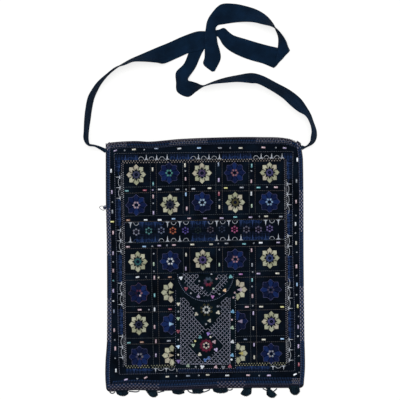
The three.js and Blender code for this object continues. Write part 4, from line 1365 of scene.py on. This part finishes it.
# Beads on the chart: column, row, glass and, where this differs from bead to bead, turn in degrees
BEADS_ACROSS = [
    (115.4, 150.7, "l", 20), (134.1, 149.6, "c", 5), (156.5, 148.7, "k", 0), (179.4, 148.7, "w", 6),
    (199.0, 148.1, "b", 0), (220.0, 148.1, "g", 0), (240.5, 148.1, "c", 0), (263.2, 147.6, "p", -4),
    (284.4, 148.1, "l", -5),
    (294.9, 374.2, "w", 25), (268.8, 375.1, "l", 0), (248.0, 374.9, "p", 0), (227.2, 375.1, "w", 0),
    (207.7, 374.6, "c", 0), (188.1, 375.5, "k", 0), (167.4, 376.4, "c", 5), (145.8, 377.3, "p", 28),
    (126.1, 379.3, "l", 15),
    (127.0, 190.9, "t", 0), (144.9, 190.3, "r", 0), (159.8, 189.4, "w", 5), (177.6, 189.4, "g", 0),
    (193.4, 188.9, "w", 0), (209.5, 188.2, "c", 0), (225.8, 188.0, "y", 0), (241.6, 187.6, "g", 0),
    (258.3, 187.6, "t", 0), (275.7, 187.3, "p", 0),
    (112.3, 221.7, "y", 0), (128.3, 220.1, "o", 0), (145.8, 219.9, "w", 0), (159.8, 219.9, "w", 0),
    (173.6, 218.8, "b", 0), (189.2, 218.3, "p", 0), (205.1, 218.3, "l", 0), (221.6, 218.1, "l", 0),
    (235.2, 217.0, "t", 0), (250.3, 217.2, "l", 0), (265.9, 216.3, "c", 0), (280.6, 216.5, "g", 0),
    (128.1, 246.7, "p", 0), (144.4, 246.4, "b", 0), (159.4, 245.5, "l", 0), (174.0, 244.9, "p", 0),
    (192.3, 244.4, "c", 0), (211.1, 244.2, "c", 0), (226.5, 243.3, "g", 0), (244.0, 243.8, "t", 0),
    (260.6, 242.6, "w", 0), (278.0, 242.4, "l", 0),
    (137.7, 276.9, "w", 8), (170.0, 276.9, "o", 5), (240.7, 274.0, "m", 0), (258.3, 273.4, "l", 0),
    (277.1, 273.2, "c", 0),
    (139.9, 309.5, "p", 0), (170.1, 308.9, "r", 0), (246.7, 306.6, "p", 0), (261.0, 306.4, "c", 0),
    (282.0, 306.6, "y", 0),
    (129.0, 342.5, "t", 8), (142.0, 341.8, "o", 0), (168.9, 340.5, "g", 5), (245.2, 338.9, "k", 0),
    (263.5, 339.2, "c", 0), (282.0, 338.5, "b", 0),
]
BEADS_DOWN = [
    (297.2, 159.7, "w"), (296.3, 180.9, "g"), (296.0, 201.6, "p"), (295.4, 223.9, "w"), (296.0, 242.9, "c"),
    (296.3, 266.3, "p"), (296.9, 284.3, "b"), (297.6, 306.0, "y"), (298.0, 326.7, "l"), (298.3, 346.0, "l"),
    (298.7, 364.2, "r"),
    (116.1, 370.2, "w"), (115.4, 348.3, "p"), (114.3, 330.0, "p"), (114.0, 311.1, "k"), (113.4, 290.6, "l"),
    (113.4, 270.5, "p"), (113.2, 253.1, "l"), (113.2, 232.6, "p"), (112.5, 211.6, "g"),
    (112.0, 192.0, "l"), (111.2, 170.8, "w"),
    (152.7, 169.3, "c"), (153.3, 183.8, "t"), (153.3, 196.5, "p"), (153.6, 212.7, "l"), (153.8, 263.8, "n"),
    (154.5, 277.4, "p"), (154.7, 295.0, "t"), (154.7, 309.1, "w"), (154.7, 326.5, "p"), (156.0, 340.9, "p"),
    (156.0, 354.8, "l"),
    (185.0, 165.3, "c"), (185.6, 178.9, "p"), (185.9, 194.3, "b"), (186.8, 208.5, "p"), (186.1, 254.5, "c"),
    (185.9, 268.5, "l"),
    (218.4, 164.4, "k"), (218.7, 180.0, "l"), (218.9, 193.8, "r"), (219.3, 206.9, "c"), (219.3, 264.5, "n"),
    (251.6, 165.7, "t"), (251.2, 181.3, "p"), (251.2, 193.6, "w"), (251.6, 205.8, "n"), (251.4, 250.0, "p"),
    (252.0, 264.7, "g"), (252.0, 279.8, "t"), (252.3, 295.7, "p"), (253.2, 312.9, "l"), (253.2, 327.8, "c"),
    (253.9, 344.3, "l"), (254.1, 356.8, "c"),
]
SEED_BEADS = [
    (124.8, 150.5, "g"), (144.4, 149.8, "g"), (230.1, 148.1, "g"), (275.7, 147.8, "g"), (259.0, 375.3, "g"),
    (198.8, 375.1, "g"), (176.5, 375.8, "g"), (137.3, 378.4, "g"), (266.8, 187.1, "g"), (259.2, 216.5, "g"),
    (152.4, 246.0, "g"), (167.0, 245.3, "g"), (218.2, 243.5, "g"), (253.6, 243.1, "g"), (146.2, 276.7, "g"),
    (158.7, 277.4, "c"), (148.9, 309.5, "g"), (295.8, 215.4, "g"), (295.4, 233.0, "g"), (296.7, 252.2, "g"),
    (296.5, 275.6, "g"), (296.5, 294.6, "g"), (298.5, 316.2, "g"), (297.8, 336.0, "w"), (298.7, 355.7, "g"),
    (298.9, 372.2, "g"), (115.2, 358.1, "g"), (114.9, 339.8, "g"), (113.4, 300.8, "w"), (113.4, 280.5, "t"),
    (113.2, 261.8, "g"), (112.5, 202.2, "g"), (152.9, 190.0, "l"), (153.3, 203.3, "g"), (153.8, 253.6, "g"),
    (154.0, 271.1, "g"), (185.4, 171.0, "g"), (186.1, 189.6, "g"), (219.3, 200.0, "g"), (219.3, 249.6, "g"),
    (251.4, 171.0, "g"), (252.5, 272.0, "g"), (252.0, 286.3, "g"), (252.7, 305.5, "g"),
]
FLAP_TRIOS = [
    (181.0, 277.8, "w", 0), (186.1, 288.3, "r", 0), (198.4, 295.9, "l", 180), (212.6, 296.4, "m", 0),
    (224.7, 289.9, "e", 150), (230.5, 276.3, "t", 180),
]
FLAP_SEEDS = [
    (191.0, 292.8, "g"), (219.3, 293.7, "g"), (211.3, 274.0, "g"), (216.4, 278.5, "p"), (199.3, 280.7, "g"),
    (202.2, 287.4, "l"), (213.3, 288.3, "n"),
]
POCKET_TRIOS = [
    (178.5, 303.7, "c", 0), (178.3, 318.2, "n", 0), (178.3, 331.0, "r", 0), (178.3, 346.3, "i", 0),
    (178.5, 360.8, "u", 0), (232.5, 311.1, "a", 180), (232.1, 327.2, "n", 180),
    (232.3, 341.2, "w", 180), (232.1, 354.6, "a", 180), (229.8, 365.7, "r", 180), (188.1, 365.0, "n", 180),
    (202.2, 366.4, "w", 0), (215.8, 366.4, "p", 180), (223.1, 366.8, "g", 0), (196.3, 313.6, "c", 200),
    (218.0, 312.0, "c", 160), (209.5, 320.3, "c", 20), (208.2, 333.3, "u", 0), (200.1, 336.5, "t", 180),
    (193.2, 344.7, "n", 0), (214.2, 341.4, "p", 30), (216.0, 349.0, "l", 150), (199.7, 353.7, "c", 180),
    (208.6, 357.4, "d", 180), (205.2, 359.4, "d", 0),
]
POCKET_SEEDS = [
    (178.5, 311.3, "g"), (178.3, 339.4, "g"), (178.3, 354.3, "c"), (234.6, 292.4, "p"), (233.3, 297.2, "p"),
    (231.8, 319.4, "p"), (231.4, 359.0, "w"), (195.7, 366.2, "g"), (193.2, 308.2, "g"), (217.6, 306.0, "g"),
    (206.0, 323.6, "g"), (210.4, 336.5, "c"), (195.2, 340.5, "y"),
]


def master_mesh(shape):
    """Places in mm and triangles of the active shape, which is then taken away.

    Both are sorted, because the order that a sphere comes in changes from run to run.
    """
    bpy.ops.object.mode_set(mode="EDIT")
    bpy.ops.mesh.select_all(action="SELECT")
    bpy.ops.mesh.remove_doubles(threshold=MERGE_DISTANCE * MM)
    bpy.ops.mesh.normals_make_consistent(inside=False)
    bpy.ops.mesh.quads_convert_to_tris()
    bpy.ops.object.mode_set(mode="OBJECT")
    bpy.ops.object.transform_apply(location=True, rotation=True, scale=True)
    mesh = shape.data
    points = np.empty(len(mesh.vertices) * 3)
    mesh.vertices.foreach_get("co", points)
    corners = np.empty(len(mesh.polygons) * 3, int)
    mesh.polygons.foreach_get("vertices", corners)
    bpy.data.objects.remove(shape, do_unlink=True)
    points = points.reshape(-1, 3) / MM
    order = np.lexsort(np.round(points, SORTING_DIGITS).T)
    triangles = np.argsort(order)[corners.reshape(-1, 3)]
    lowest_first = (triangles.argmin(1)[:, None] + np.arange(3)) % 3
    triangles = np.take_along_axis(triangles, lowest_first, axis=1)
    return points[order], triangles[np.lexsort(triangles.T)]


def begin(add, **sizes):
    """A primitive to start from, alone selected and active."""
    bpy.ops.object.select_all(action="DESELECT")
    add(**sizes)
    return bpy.context.view_layer.objects.active


def round_edges(shape, width_mm):
    """Bevels the sharp edges of the active shape."""
    rounding = shape.modifiers.new("rounding", "BEVEL")
    rounding.width = width_mm * MM
    rounding.segments = ROUNDING_STEPS
    rounding.limit_method = "ANGLE"
    rounding.angle_limit = math.radians(SHARP_ANGLE)
    bpy.ops.object.modifier_apply(modifier="rounding")


def bugle_bead():
    """A short glass tube with a hole in each end, lying along x."""
    bead = begin(
        bpy.ops.mesh.primitive_cylinder_add, vertices=BUGLE_SIDES, radius=BUGLE_RADIUS * MM,
        depth=BUGLE_LENGTH * MM, rotation=(0, math.pi / 2, 0),
    )
    bpy.ops.object.mode_set(mode="EDIT")
    bpy.ops.mesh.select_all(action="DESELECT")
    bpy.ops.mesh.select_mode(type="FACE")
    bpy.ops.object.mode_set(mode="OBJECT")
    for face in bead.data.polygons:
        face.select = len(face.vertices) == BUGLE_SIDES
    bpy.ops.object.mode_set(mode="EDIT")
    bpy.ops.mesh.inset(thickness=BUGLE_WALL * MM, use_individual=True)
    bpy.ops.mesh.extrude_faces_move(TRANSFORM_OT_shrink_fatten={"value": -BUGLE_HOLE * MM})
    bpy.ops.object.mode_set(mode="OBJECT")
    round_edges(bead, BUGLE_ROUNDING)
    return master_mesh(bead)


def seed_bead():
    """A round glass bead with its hole up."""
    bead = begin(
        bpy.ops.mesh.primitive_torus_add, major_radius=SEED_RING * MM, minor_radius=SEED_RADIUS * MM,
        major_segments=SEED_SEGMENTS, minor_segments=SEED_SIDES,
    )
    return master_mesh(bead)


def bead_trio():
    """Three round beads sewn close together, two above one."""
    trio = begin(
        bpy.ops.mesh.primitive_uv_sphere_add, segments=TRIO_SEGMENTS, ring_count=TRIO_RINGS,
        radius=TRIO_RADIUS * MM,
    )
    bpy.ops.object.mode_set(mode="EDIT")
    bpy.ops.mesh.select_all(action="SELECT")
    bpy.ops.transform.translate(value=(-TRIO_HALF * MM, TRIO_RISE * MM, 0))
    for step in ((2 * TRIO_HALF, 0), (-TRIO_HALF, -TRIO_DROP)):
        bpy.ops.mesh.duplicate()
        bpy.ops.transform.translate(value=(step[0] * MM, step[1] * MM, 0))
    bpy.ops.object.mode_set(mode="OBJECT")
    return master_mesh(trio)


def lay_beads(name, bead, places, height, surface, sizes=None):
    """Copies of a bead on a surface: places are column, row, glass and turn in degrees."""
    points, triangles = bead
    columns, rows, glass, turns = zip(*places)
    middle_x, middle_y = place_of(columns, rows)
    size = np.array(sizes if sizes is not None else chance.uniform(*BEAD_SIZES, len(places)))
    cos, sin = (np.cos(np.radians(turns)) * size)[:, None], (np.sin(np.radians(turns)) * size)[:, None]
    x = middle_x[:, None] + cos * points[:, 0] - sin * points[:, 1]
    y = middle_y[:, None] + sin * points[:, 0] + cos * points[:, 1]
    z = (surface(middle_x, middle_y) + height)[:, None] + size[:, None] * points[:, 2]
    faces = (np.arange(len(places)) * len(points))[:, None, None] + triangles
    dyes = np.array([linear(GLASS_COLOURS[letter]) for letter in glass])
    dyes[:, :3] *= chance.uniform(*BEAD_SHADES, (len(places), 1))
    make_piece(
        name, np.stack([x, y, z], -1).reshape(-1, 3), [faces.reshape(-1, 3)], GLASS,
        colours=np.repeat(dyes, len(points), axis=0),
    )


def laid(beads, turn):
    """Beads that all lie with one turn."""
    return [(*bead, turn) for bead in beads]


def make_beads():
    bugle, seed, trio = bugle_bead(), seed_bead(), bead_trio()
    lay_beads("bugle_beads", bugle, BEADS_ACROSS + laid(BEADS_DOWN, 90), BUGLE_HEIGHT, front_top)
    lay_beads("seed_beads", seed, laid(SEED_BEADS, 0), SEED_HEIGHT, front_top)
    for part, trios, seeds, surface in (
        ("flap", FLAP_TRIOS, FLAP_SEEDS, flap_top), ("pocket", POCKET_TRIOS, POCKET_SEEDS, pocket_top),
    ):
        sways = chance.uniform(-TRIO_SWAY, TRIO_SWAY, len(trios))
        turned = [(*place, turn + sway) for (*place, turn), sway in zip(trios, sways)]
        lay_beads(f"{part}_bead_trios", trio, turned, TRIO_HEIGHT, surface)
        sizes = [POCKET_SEED_SIZE] * len(seeds)
        lay_beads(f"{part}_seeds", seed, laid(seeds, 0), SEED_HEIGHT, surface, sizes)


# Pocket and flap embroidery, with plain ground inside these outlines
UPPER_MEDALLION = [
    (186, 297), (189.4, 302.8), (192.1, 310), (197, 318.9), (204.6, 327.0), (208.2, 328.3), (215.3, 320.7),
    (220.7, 314.4), (219.3, 304.2), (225, 297),
]
LOWER_DIAMOND = [(205.7, 329), (189, 345), (203.8, 362), (223.5, 344.7)]
FLAP_DIAMOND = [(202.0, 271.0), (194.4, 281.8), (208.5, 293.2), (219.3, 282.3), (215.5, 271.0)]

# Lattices: a crossing of two threads, and the steps to the next one along a rising and a falling thread
POCKET_LATTICE = ((205.87, 329.85), (2.105, -2.078), (2.034, 2.211))
FLAP_LATTICE = ((207.22, 283.27), (1.937, -2.207), (2.140, 1.928))
LATTICE_REACH = 40
LATTICE_WIDTH, LATTICE_RISE = 0.46, 0.45
RISING_LAYER, FALLING_LAYER = 0.3, 0.2
POCKET_BOX = ((180.6, 297.0), (230.0, 363.6))
FLAP_BOX = ((180.0, 273.0), (232.0, 298.0))

# Dotted lines along the pocket: route, thread, step and width
POCKET_DOTS = [
    ([(175.7, 290), (175.7, 368.0)], "pocket_left", 2.4, 0.6),
    ([(175.8, 368.4), (235.2, 368.1)], "pocket_hem", 2.2, 0.7),
    ([(235.3, 293), (235.3, 368.0)], "pocket_right", 2.3, 0.65),
]

# Flowers on the pocket: centre, hole, radius, petals, colours, layer, spread and width
POCKET_FLOWERS = [
    ((206.4, 309.3), 4.6, 7.2, 8, ("#5c5838",), 0.2, 0.25, 0.6),
    ((206.4, 309.3), 1.8, 4.7, 8, ("#c4c8c6",), 0.5, 0.27, 0.8),
    ((206.2, 345.0), 3.8, 7.4, 10, ("#742440",), 0.2, 0.3, 1.0),
    ((206.2, 345.0), 1.6, 4.2, 6, ("#c8bab4",), 0.5, 0.34, 0.8),
]

# Flap: middle and reach of its lattice, its root line and its rims by reach, thread, width and gap
FLAP_MIDDLE, FLAP_REACH, FLAP_TOP_ROW = (205.7, 272.5), 22.6, 273.2
FLAP_ROOT_LINE = [(179, 273.4), (233, 273.0)]
FLAP_RIM_MIDDLE, FLAP_RIM_POINTS, FLAP_RIM_ENDS = (205.7, 272.6), 60, (0.99, 0.01)
FLAP_RIMS = [(28.1, "flap_line", 0.75, 0.18), (27.0, "navy", 0.9, 0.03)]
FLAP_FLOWER_MIDDLE = (208.3, 281.4)
FLAP_FLOWER = ("#5c3844", "#7c2c40", "#7c2c44", "#503450", "#4a4258", "#46566c", "#46586a", "#3c4c58")


def inside(polygon, column, row):
    """Whether a place on the chart lies inside an outline."""
    within = False
    for (c0, r0), (c1, r1) in zip(polygon, polygon[1:] + polygon[:1]):
        if (r0 > row) != (r1 > row) and column < (c1 - c0) * (row - r0) / (r1 - r0) + c0:
            within = not within
    return within


def lattice(work, pattern, box, keep):
    """Crossing diagonal threads inside a box, cut where keep is false."""
    crossing, rising, falling = np.array(pattern)
    low, high = np.array(box)
    for i in range(-LATTICE_REACH, LATTICE_REACH):
        for j in range(-LATTICE_REACH, LATTICE_REACH):
            start = crossing + i * rising + j * falling
            for step, layer in ((rising, RISING_LAYER), (falling, FALLING_LAYER)):
                middle = start + step / 2
                if np.all(low < middle) and np.all(middle < high) and keep(*middle):
                    near, far = np.clip([start, start + step], low, high)
                    stitch(work, near, far, THREADS["lattice"], LATTICE_WIDTH, LATTICE_RISE, layer)


def pocket_keeps(column, row):
    return not inside(UPPER_MEDALLION, column, row) and not inside(LOWER_DIAMOND, column, row)


def flap_keeps(column, row):
    reach = math.hypot(column - FLAP_MIDDLE[0], row - FLAP_MIDDLE[1])
    return reach < FLAP_REACH and row > FLAP_TOP_ROW and not inside(FLAP_DIAMOND, column, row)


def make_pocket_work():
    work = []
    lattice(work, POCKET_LATTICE, POCKET_BOX, pocket_keeps)
    (left, top), (right, bottom) = POCKET_BOX
    edge = [(left, top), (left, bottom), (right, bottom), (right, top)]
    back_stitch(work, edge, THREADS["lattice"], step=2.0, width=0.55)
    for route, thread, step, width in POCKET_DOTS:
        dotted(work, route, [THREADS[thread]], step, rows=1, spacing=0.0, width=width)
    for row in POCKET_FLOWERS:
        flower(work, *row)
    sew("pocket_embroidery", work, pocket_top)


def make_flap_work():
    work = []
    lattice(work, FLAP_LATTICE, FLAP_BOX, flap_keeps)
    turns = np.linspace(math.pi * FLAP_RIM_ENDS[0], math.pi * FLAP_RIM_ENDS[1], FLAP_RIM_POINTS)
    for reach, thread, width, gap in FLAP_RIMS:
        rim = [FLAP_RIM_MIDDLE + reach * heading(turn) for turn in turns]
        back_stitch(work, rim, THREADS[thread], step=1.9, width=width, shrink=gap)
    back_stitch(work, FLAP_ROOT_LINE, THREADS["navy"], step=2.2, width=0.8)
    flower(
        work, FLAP_FLOWER_MIDDLE, hole=1.6, radius=5.6, petals=len(FLAP_FLOWER), colours=FLAP_FLOWER,
        layer=0.4, spread=0.3, width=0.9,
    )
    sew("flap_embroidery", work, flap_top)


# Tufts and cords

def tuft_strands(root, hang, width, lean, tip_width, reach, radius, drop, strands, dice):
    """Cut threads that fill a row of round locks, from a rounded head to a rounded tip."""
    side = np.array([-hang[1], hang[0], 0.0])
    place = np.clip(dice.uniform(-EDGE_CROWDING, EDGE_CROWDING, strands), -1, 1)
    turn = dice.uniform(0, math.tau, strands)
    share = np.sqrt(np.minimum(dice.uniform(0, OUTSIDE_CROWDING, strands), 1))
    rounding = np.sqrt(1 - TIP_ROUNDING * place ** 2)
    start = root + side * (place * max(width / 2 - radius, 0))[:, None]
    end = root + side * (lean + place * (tip_width / 2 - LOCK_TIP_INSET * radius))[:, None]
    end = end + hang * (reach * rounding)[:, None] - UP * drop * rounding[:, None]
    length = np.linalg.norm(end - start, axis=1)
    rounded = LOCK_ROUND * radius / length
    low = -rounded * (1 - share)
    high = 1 - rounded * np.minimum(share / LOCK_ROUND_FROM, 1) - dice.uniform(0, STRAND_FRAY, strands)
    t = low[:, None] + (high - low)[:, None] * np.linspace(0, 1, STRAND_POINTS)
    swell = np.interp(t, (0, 0.5, 1), LOCK_SWELL) * (share * (radius - STRAND_RADIUS))[:, None]
    sway = dice.normal(0, STRAND_BEND, (strands, 1)) * np.sin(t * math.pi)
    routes = start[:, None] + (end - start)[:, None] * t[..., None]
    routes = routes + side * (swell * np.cos(turn)[:, None] + sway)[..., None]
    routes[..., 2] += swell * np.sin(turn)[:, None] * LOCK_FLATNESS
    thickness = STRAND_RADIUS * np.linspace(*STRAND_THINNING, STRAND_POINTS)
    return tubes(routes, thickness * dice.uniform(*STRAND_SIZES, (strands, 1)), STRAND_SIDES)


def make_tuft(name, node, shades, seed, strands, **shape):
    """A tuft in place of its solid, each of its threads in one of the shades."""
    dice = np.random.default_rng(seed)
    points, faces = tuft_strands(strands=strands, dice=dice, **shape)
    dyes = np.array([linear(colour) for colour in shades])[dice.integers(0, len(shades), strands)]
    colours = np.repeat(dyes, STRAND_POINTS * STRAND_SIDES, axis=0)
    make_piece(name, points, faces, TUFT_THREAD, slot="thread", replaces=(node,), colours=colours)


def make_tufts():
    for number, (x, width, tip_x, tip_width, depth, overlap, lift) in enumerate(TUFTS, start=1):
        head = overlap - GAP - LOCK_ROUND * LOCK_RADIUS
        make_tuft(
            f"hem_tuft_{number}", f"tassel_{number}", HEM_TUFT_SHADES, HEM_SEED + number, HEM_STRANDS,
            root=np.array([x, hem(x) + head, TUFT_HEIGHT + lift]), hang=np.array([0.0, -1.0, 0.0]),
            width=width, lean=tip_x - x, tip_width=tip_width, reach=depth + head,
            radius=LOCK_RADIUS, drop=lift,
        )
    head = SIDE_TUFT_OVERLAP - GAP - LOCK_ROUND * SIDE_LOCK_RADIUS
    make_tuft(
        "side_tuft", "side_tassel", SIDE_TUFT_SHADES, SIDE_SEED, SIDE_STRANDS,
        root=np.array([SIDE_TUFT_X + head, SIDE_TUFT_Y, TUFT_HEIGHT]), hang=np.array([-1.0, 0.0, 0.0]),
        width=SIDE_TUFT_WIDTH, lean=0.0, tip_width=SIDE_TIP_WIDTH, reach=SIDE_TUFT_DEPTH + head,
        radius=SIDE_LOCK_RADIUS, drop=0.0,
    )


def make_cords(name, routes, radius):
    """Sewn loops of cord along their routes."""
    parts, walls, caps, first = [], [], [], 0
    for route in routes:
        curve = smooth_route(route, CORD_STEPS)
        points, faces = tubes(curve[None], np.full((1, len(curve)), radius), CORD_SIDES)
        parts.append(points)
        walls.append(faces[0] + first)
        caps.append(faces[1] + first)
        first += len(points)
    points, faces = np.concatenate(parts), [np.concatenate(walls), np.concatenate(caps)]
    dyes = np.tile(linear(THREADS["cord"]), (len(points), 1))
    make_piece(name, points, faces, TUFT_THREAD, slot="thread", colours=dyes)


# Stage, light and camera

# Camera: place, width of the picture and of the sensor in mm, end of the view in m
CAMERA_X, CAMERA_Y = -7.5, 96.0
CAMERA_HEIGHT = 5000.0
FRAME_WIDTH = 600.0
SENSOR = 36.0
VIEW_END = 30.0

# Floor that glows a little so that it is as bright as the photo's: size and drop in m, and glow.
# Then the light all round, and the lamp with its spread and tilt in degrees.
FLOOR_SIZE, FLOOR_DROP = 8.0, 0.0003
FLOOR_GLOW = 0.75
STUDIO_LIGHT = 0.42
LAMP_STRENGTH, LAMP_SPREAD, LAMP_TILT = 2.4, 35, (-9, -7)


def make_stage():
    floor = begin(bpy.ops.mesh.primitive_plane_add, size=FLOOR_SIZE, location=(0, 0, -FLOOR_DROP))
    floor.name = "floor"
    surface = {
        "Roughness": 0.9, "Base Color": linear("#8a8a88"),
        "Emission Color": linear("#ffffff"), "Emission Strength": FLOOR_GLOW,
    }
    material, *_ = new_material("frosted_light_table", surface)
    floor.data.materials.append(material)
    bpy.ops.object.select_all(action="DESELECT")

    scene = bpy.context.scene
    scene.world = bpy.data.worlds.new("studio")
    scene.world.use_nodes = True
    light = scene.world.node_tree.nodes["Background"].inputs
    light["Color"].default_value = linear("#ffffff")
    light["Strength"].default_value = STUDIO_LIGHT
    lamp = bpy.data.lights.new("overhead", "SUN")
    lamp.energy = LAMP_STRENGTH
    lamp.angle = math.radians(LAMP_SPREAD)
    holder = bpy.data.objects.new("overhead", lamp)
    holder.rotation_euler = (math.radians(LAMP_TILT[0]), math.radians(LAMP_TILT[1]), 0)
    scene.collection.objects.link(holder)

    lens = bpy.data.cameras.new("camera")
    lens.sensor_width = SENSOR
    lens.lens = SENSOR * CAMERA_HEIGHT / FRAME_WIDTH
    lens.clip_end = VIEW_END
    camera = bpy.data.objects.new("camera", lens)
    camera.location = (CAMERA_X * MM, CAMERA_Y * MM, CAMERA_HEIGHT * MM)
    scene.collection.objects.link(camera)
    scene.camera = camera
    scene.view_settings.view_transform = "Standard"


make_stage()
make_panels()
make_braid()
make_pocket()
for strap_band in STRAP_BANDS:
    make_strap(*strap_band)
make_strap_joints()
make_stars()
make_lines()
make_blue_band()
make_edging()
make_pocket_work()
make_flap_work()
make_beads()
make_tufts()
make_cords("hem_cords", [[(x, y, TUFT_HEIGHT) for x, y in route] for route in HEM_CORDS], CORD_RADIUS)
make_cords("side_thread", [SIDE_THREAD], SIDE_THREAD_RADIUS)
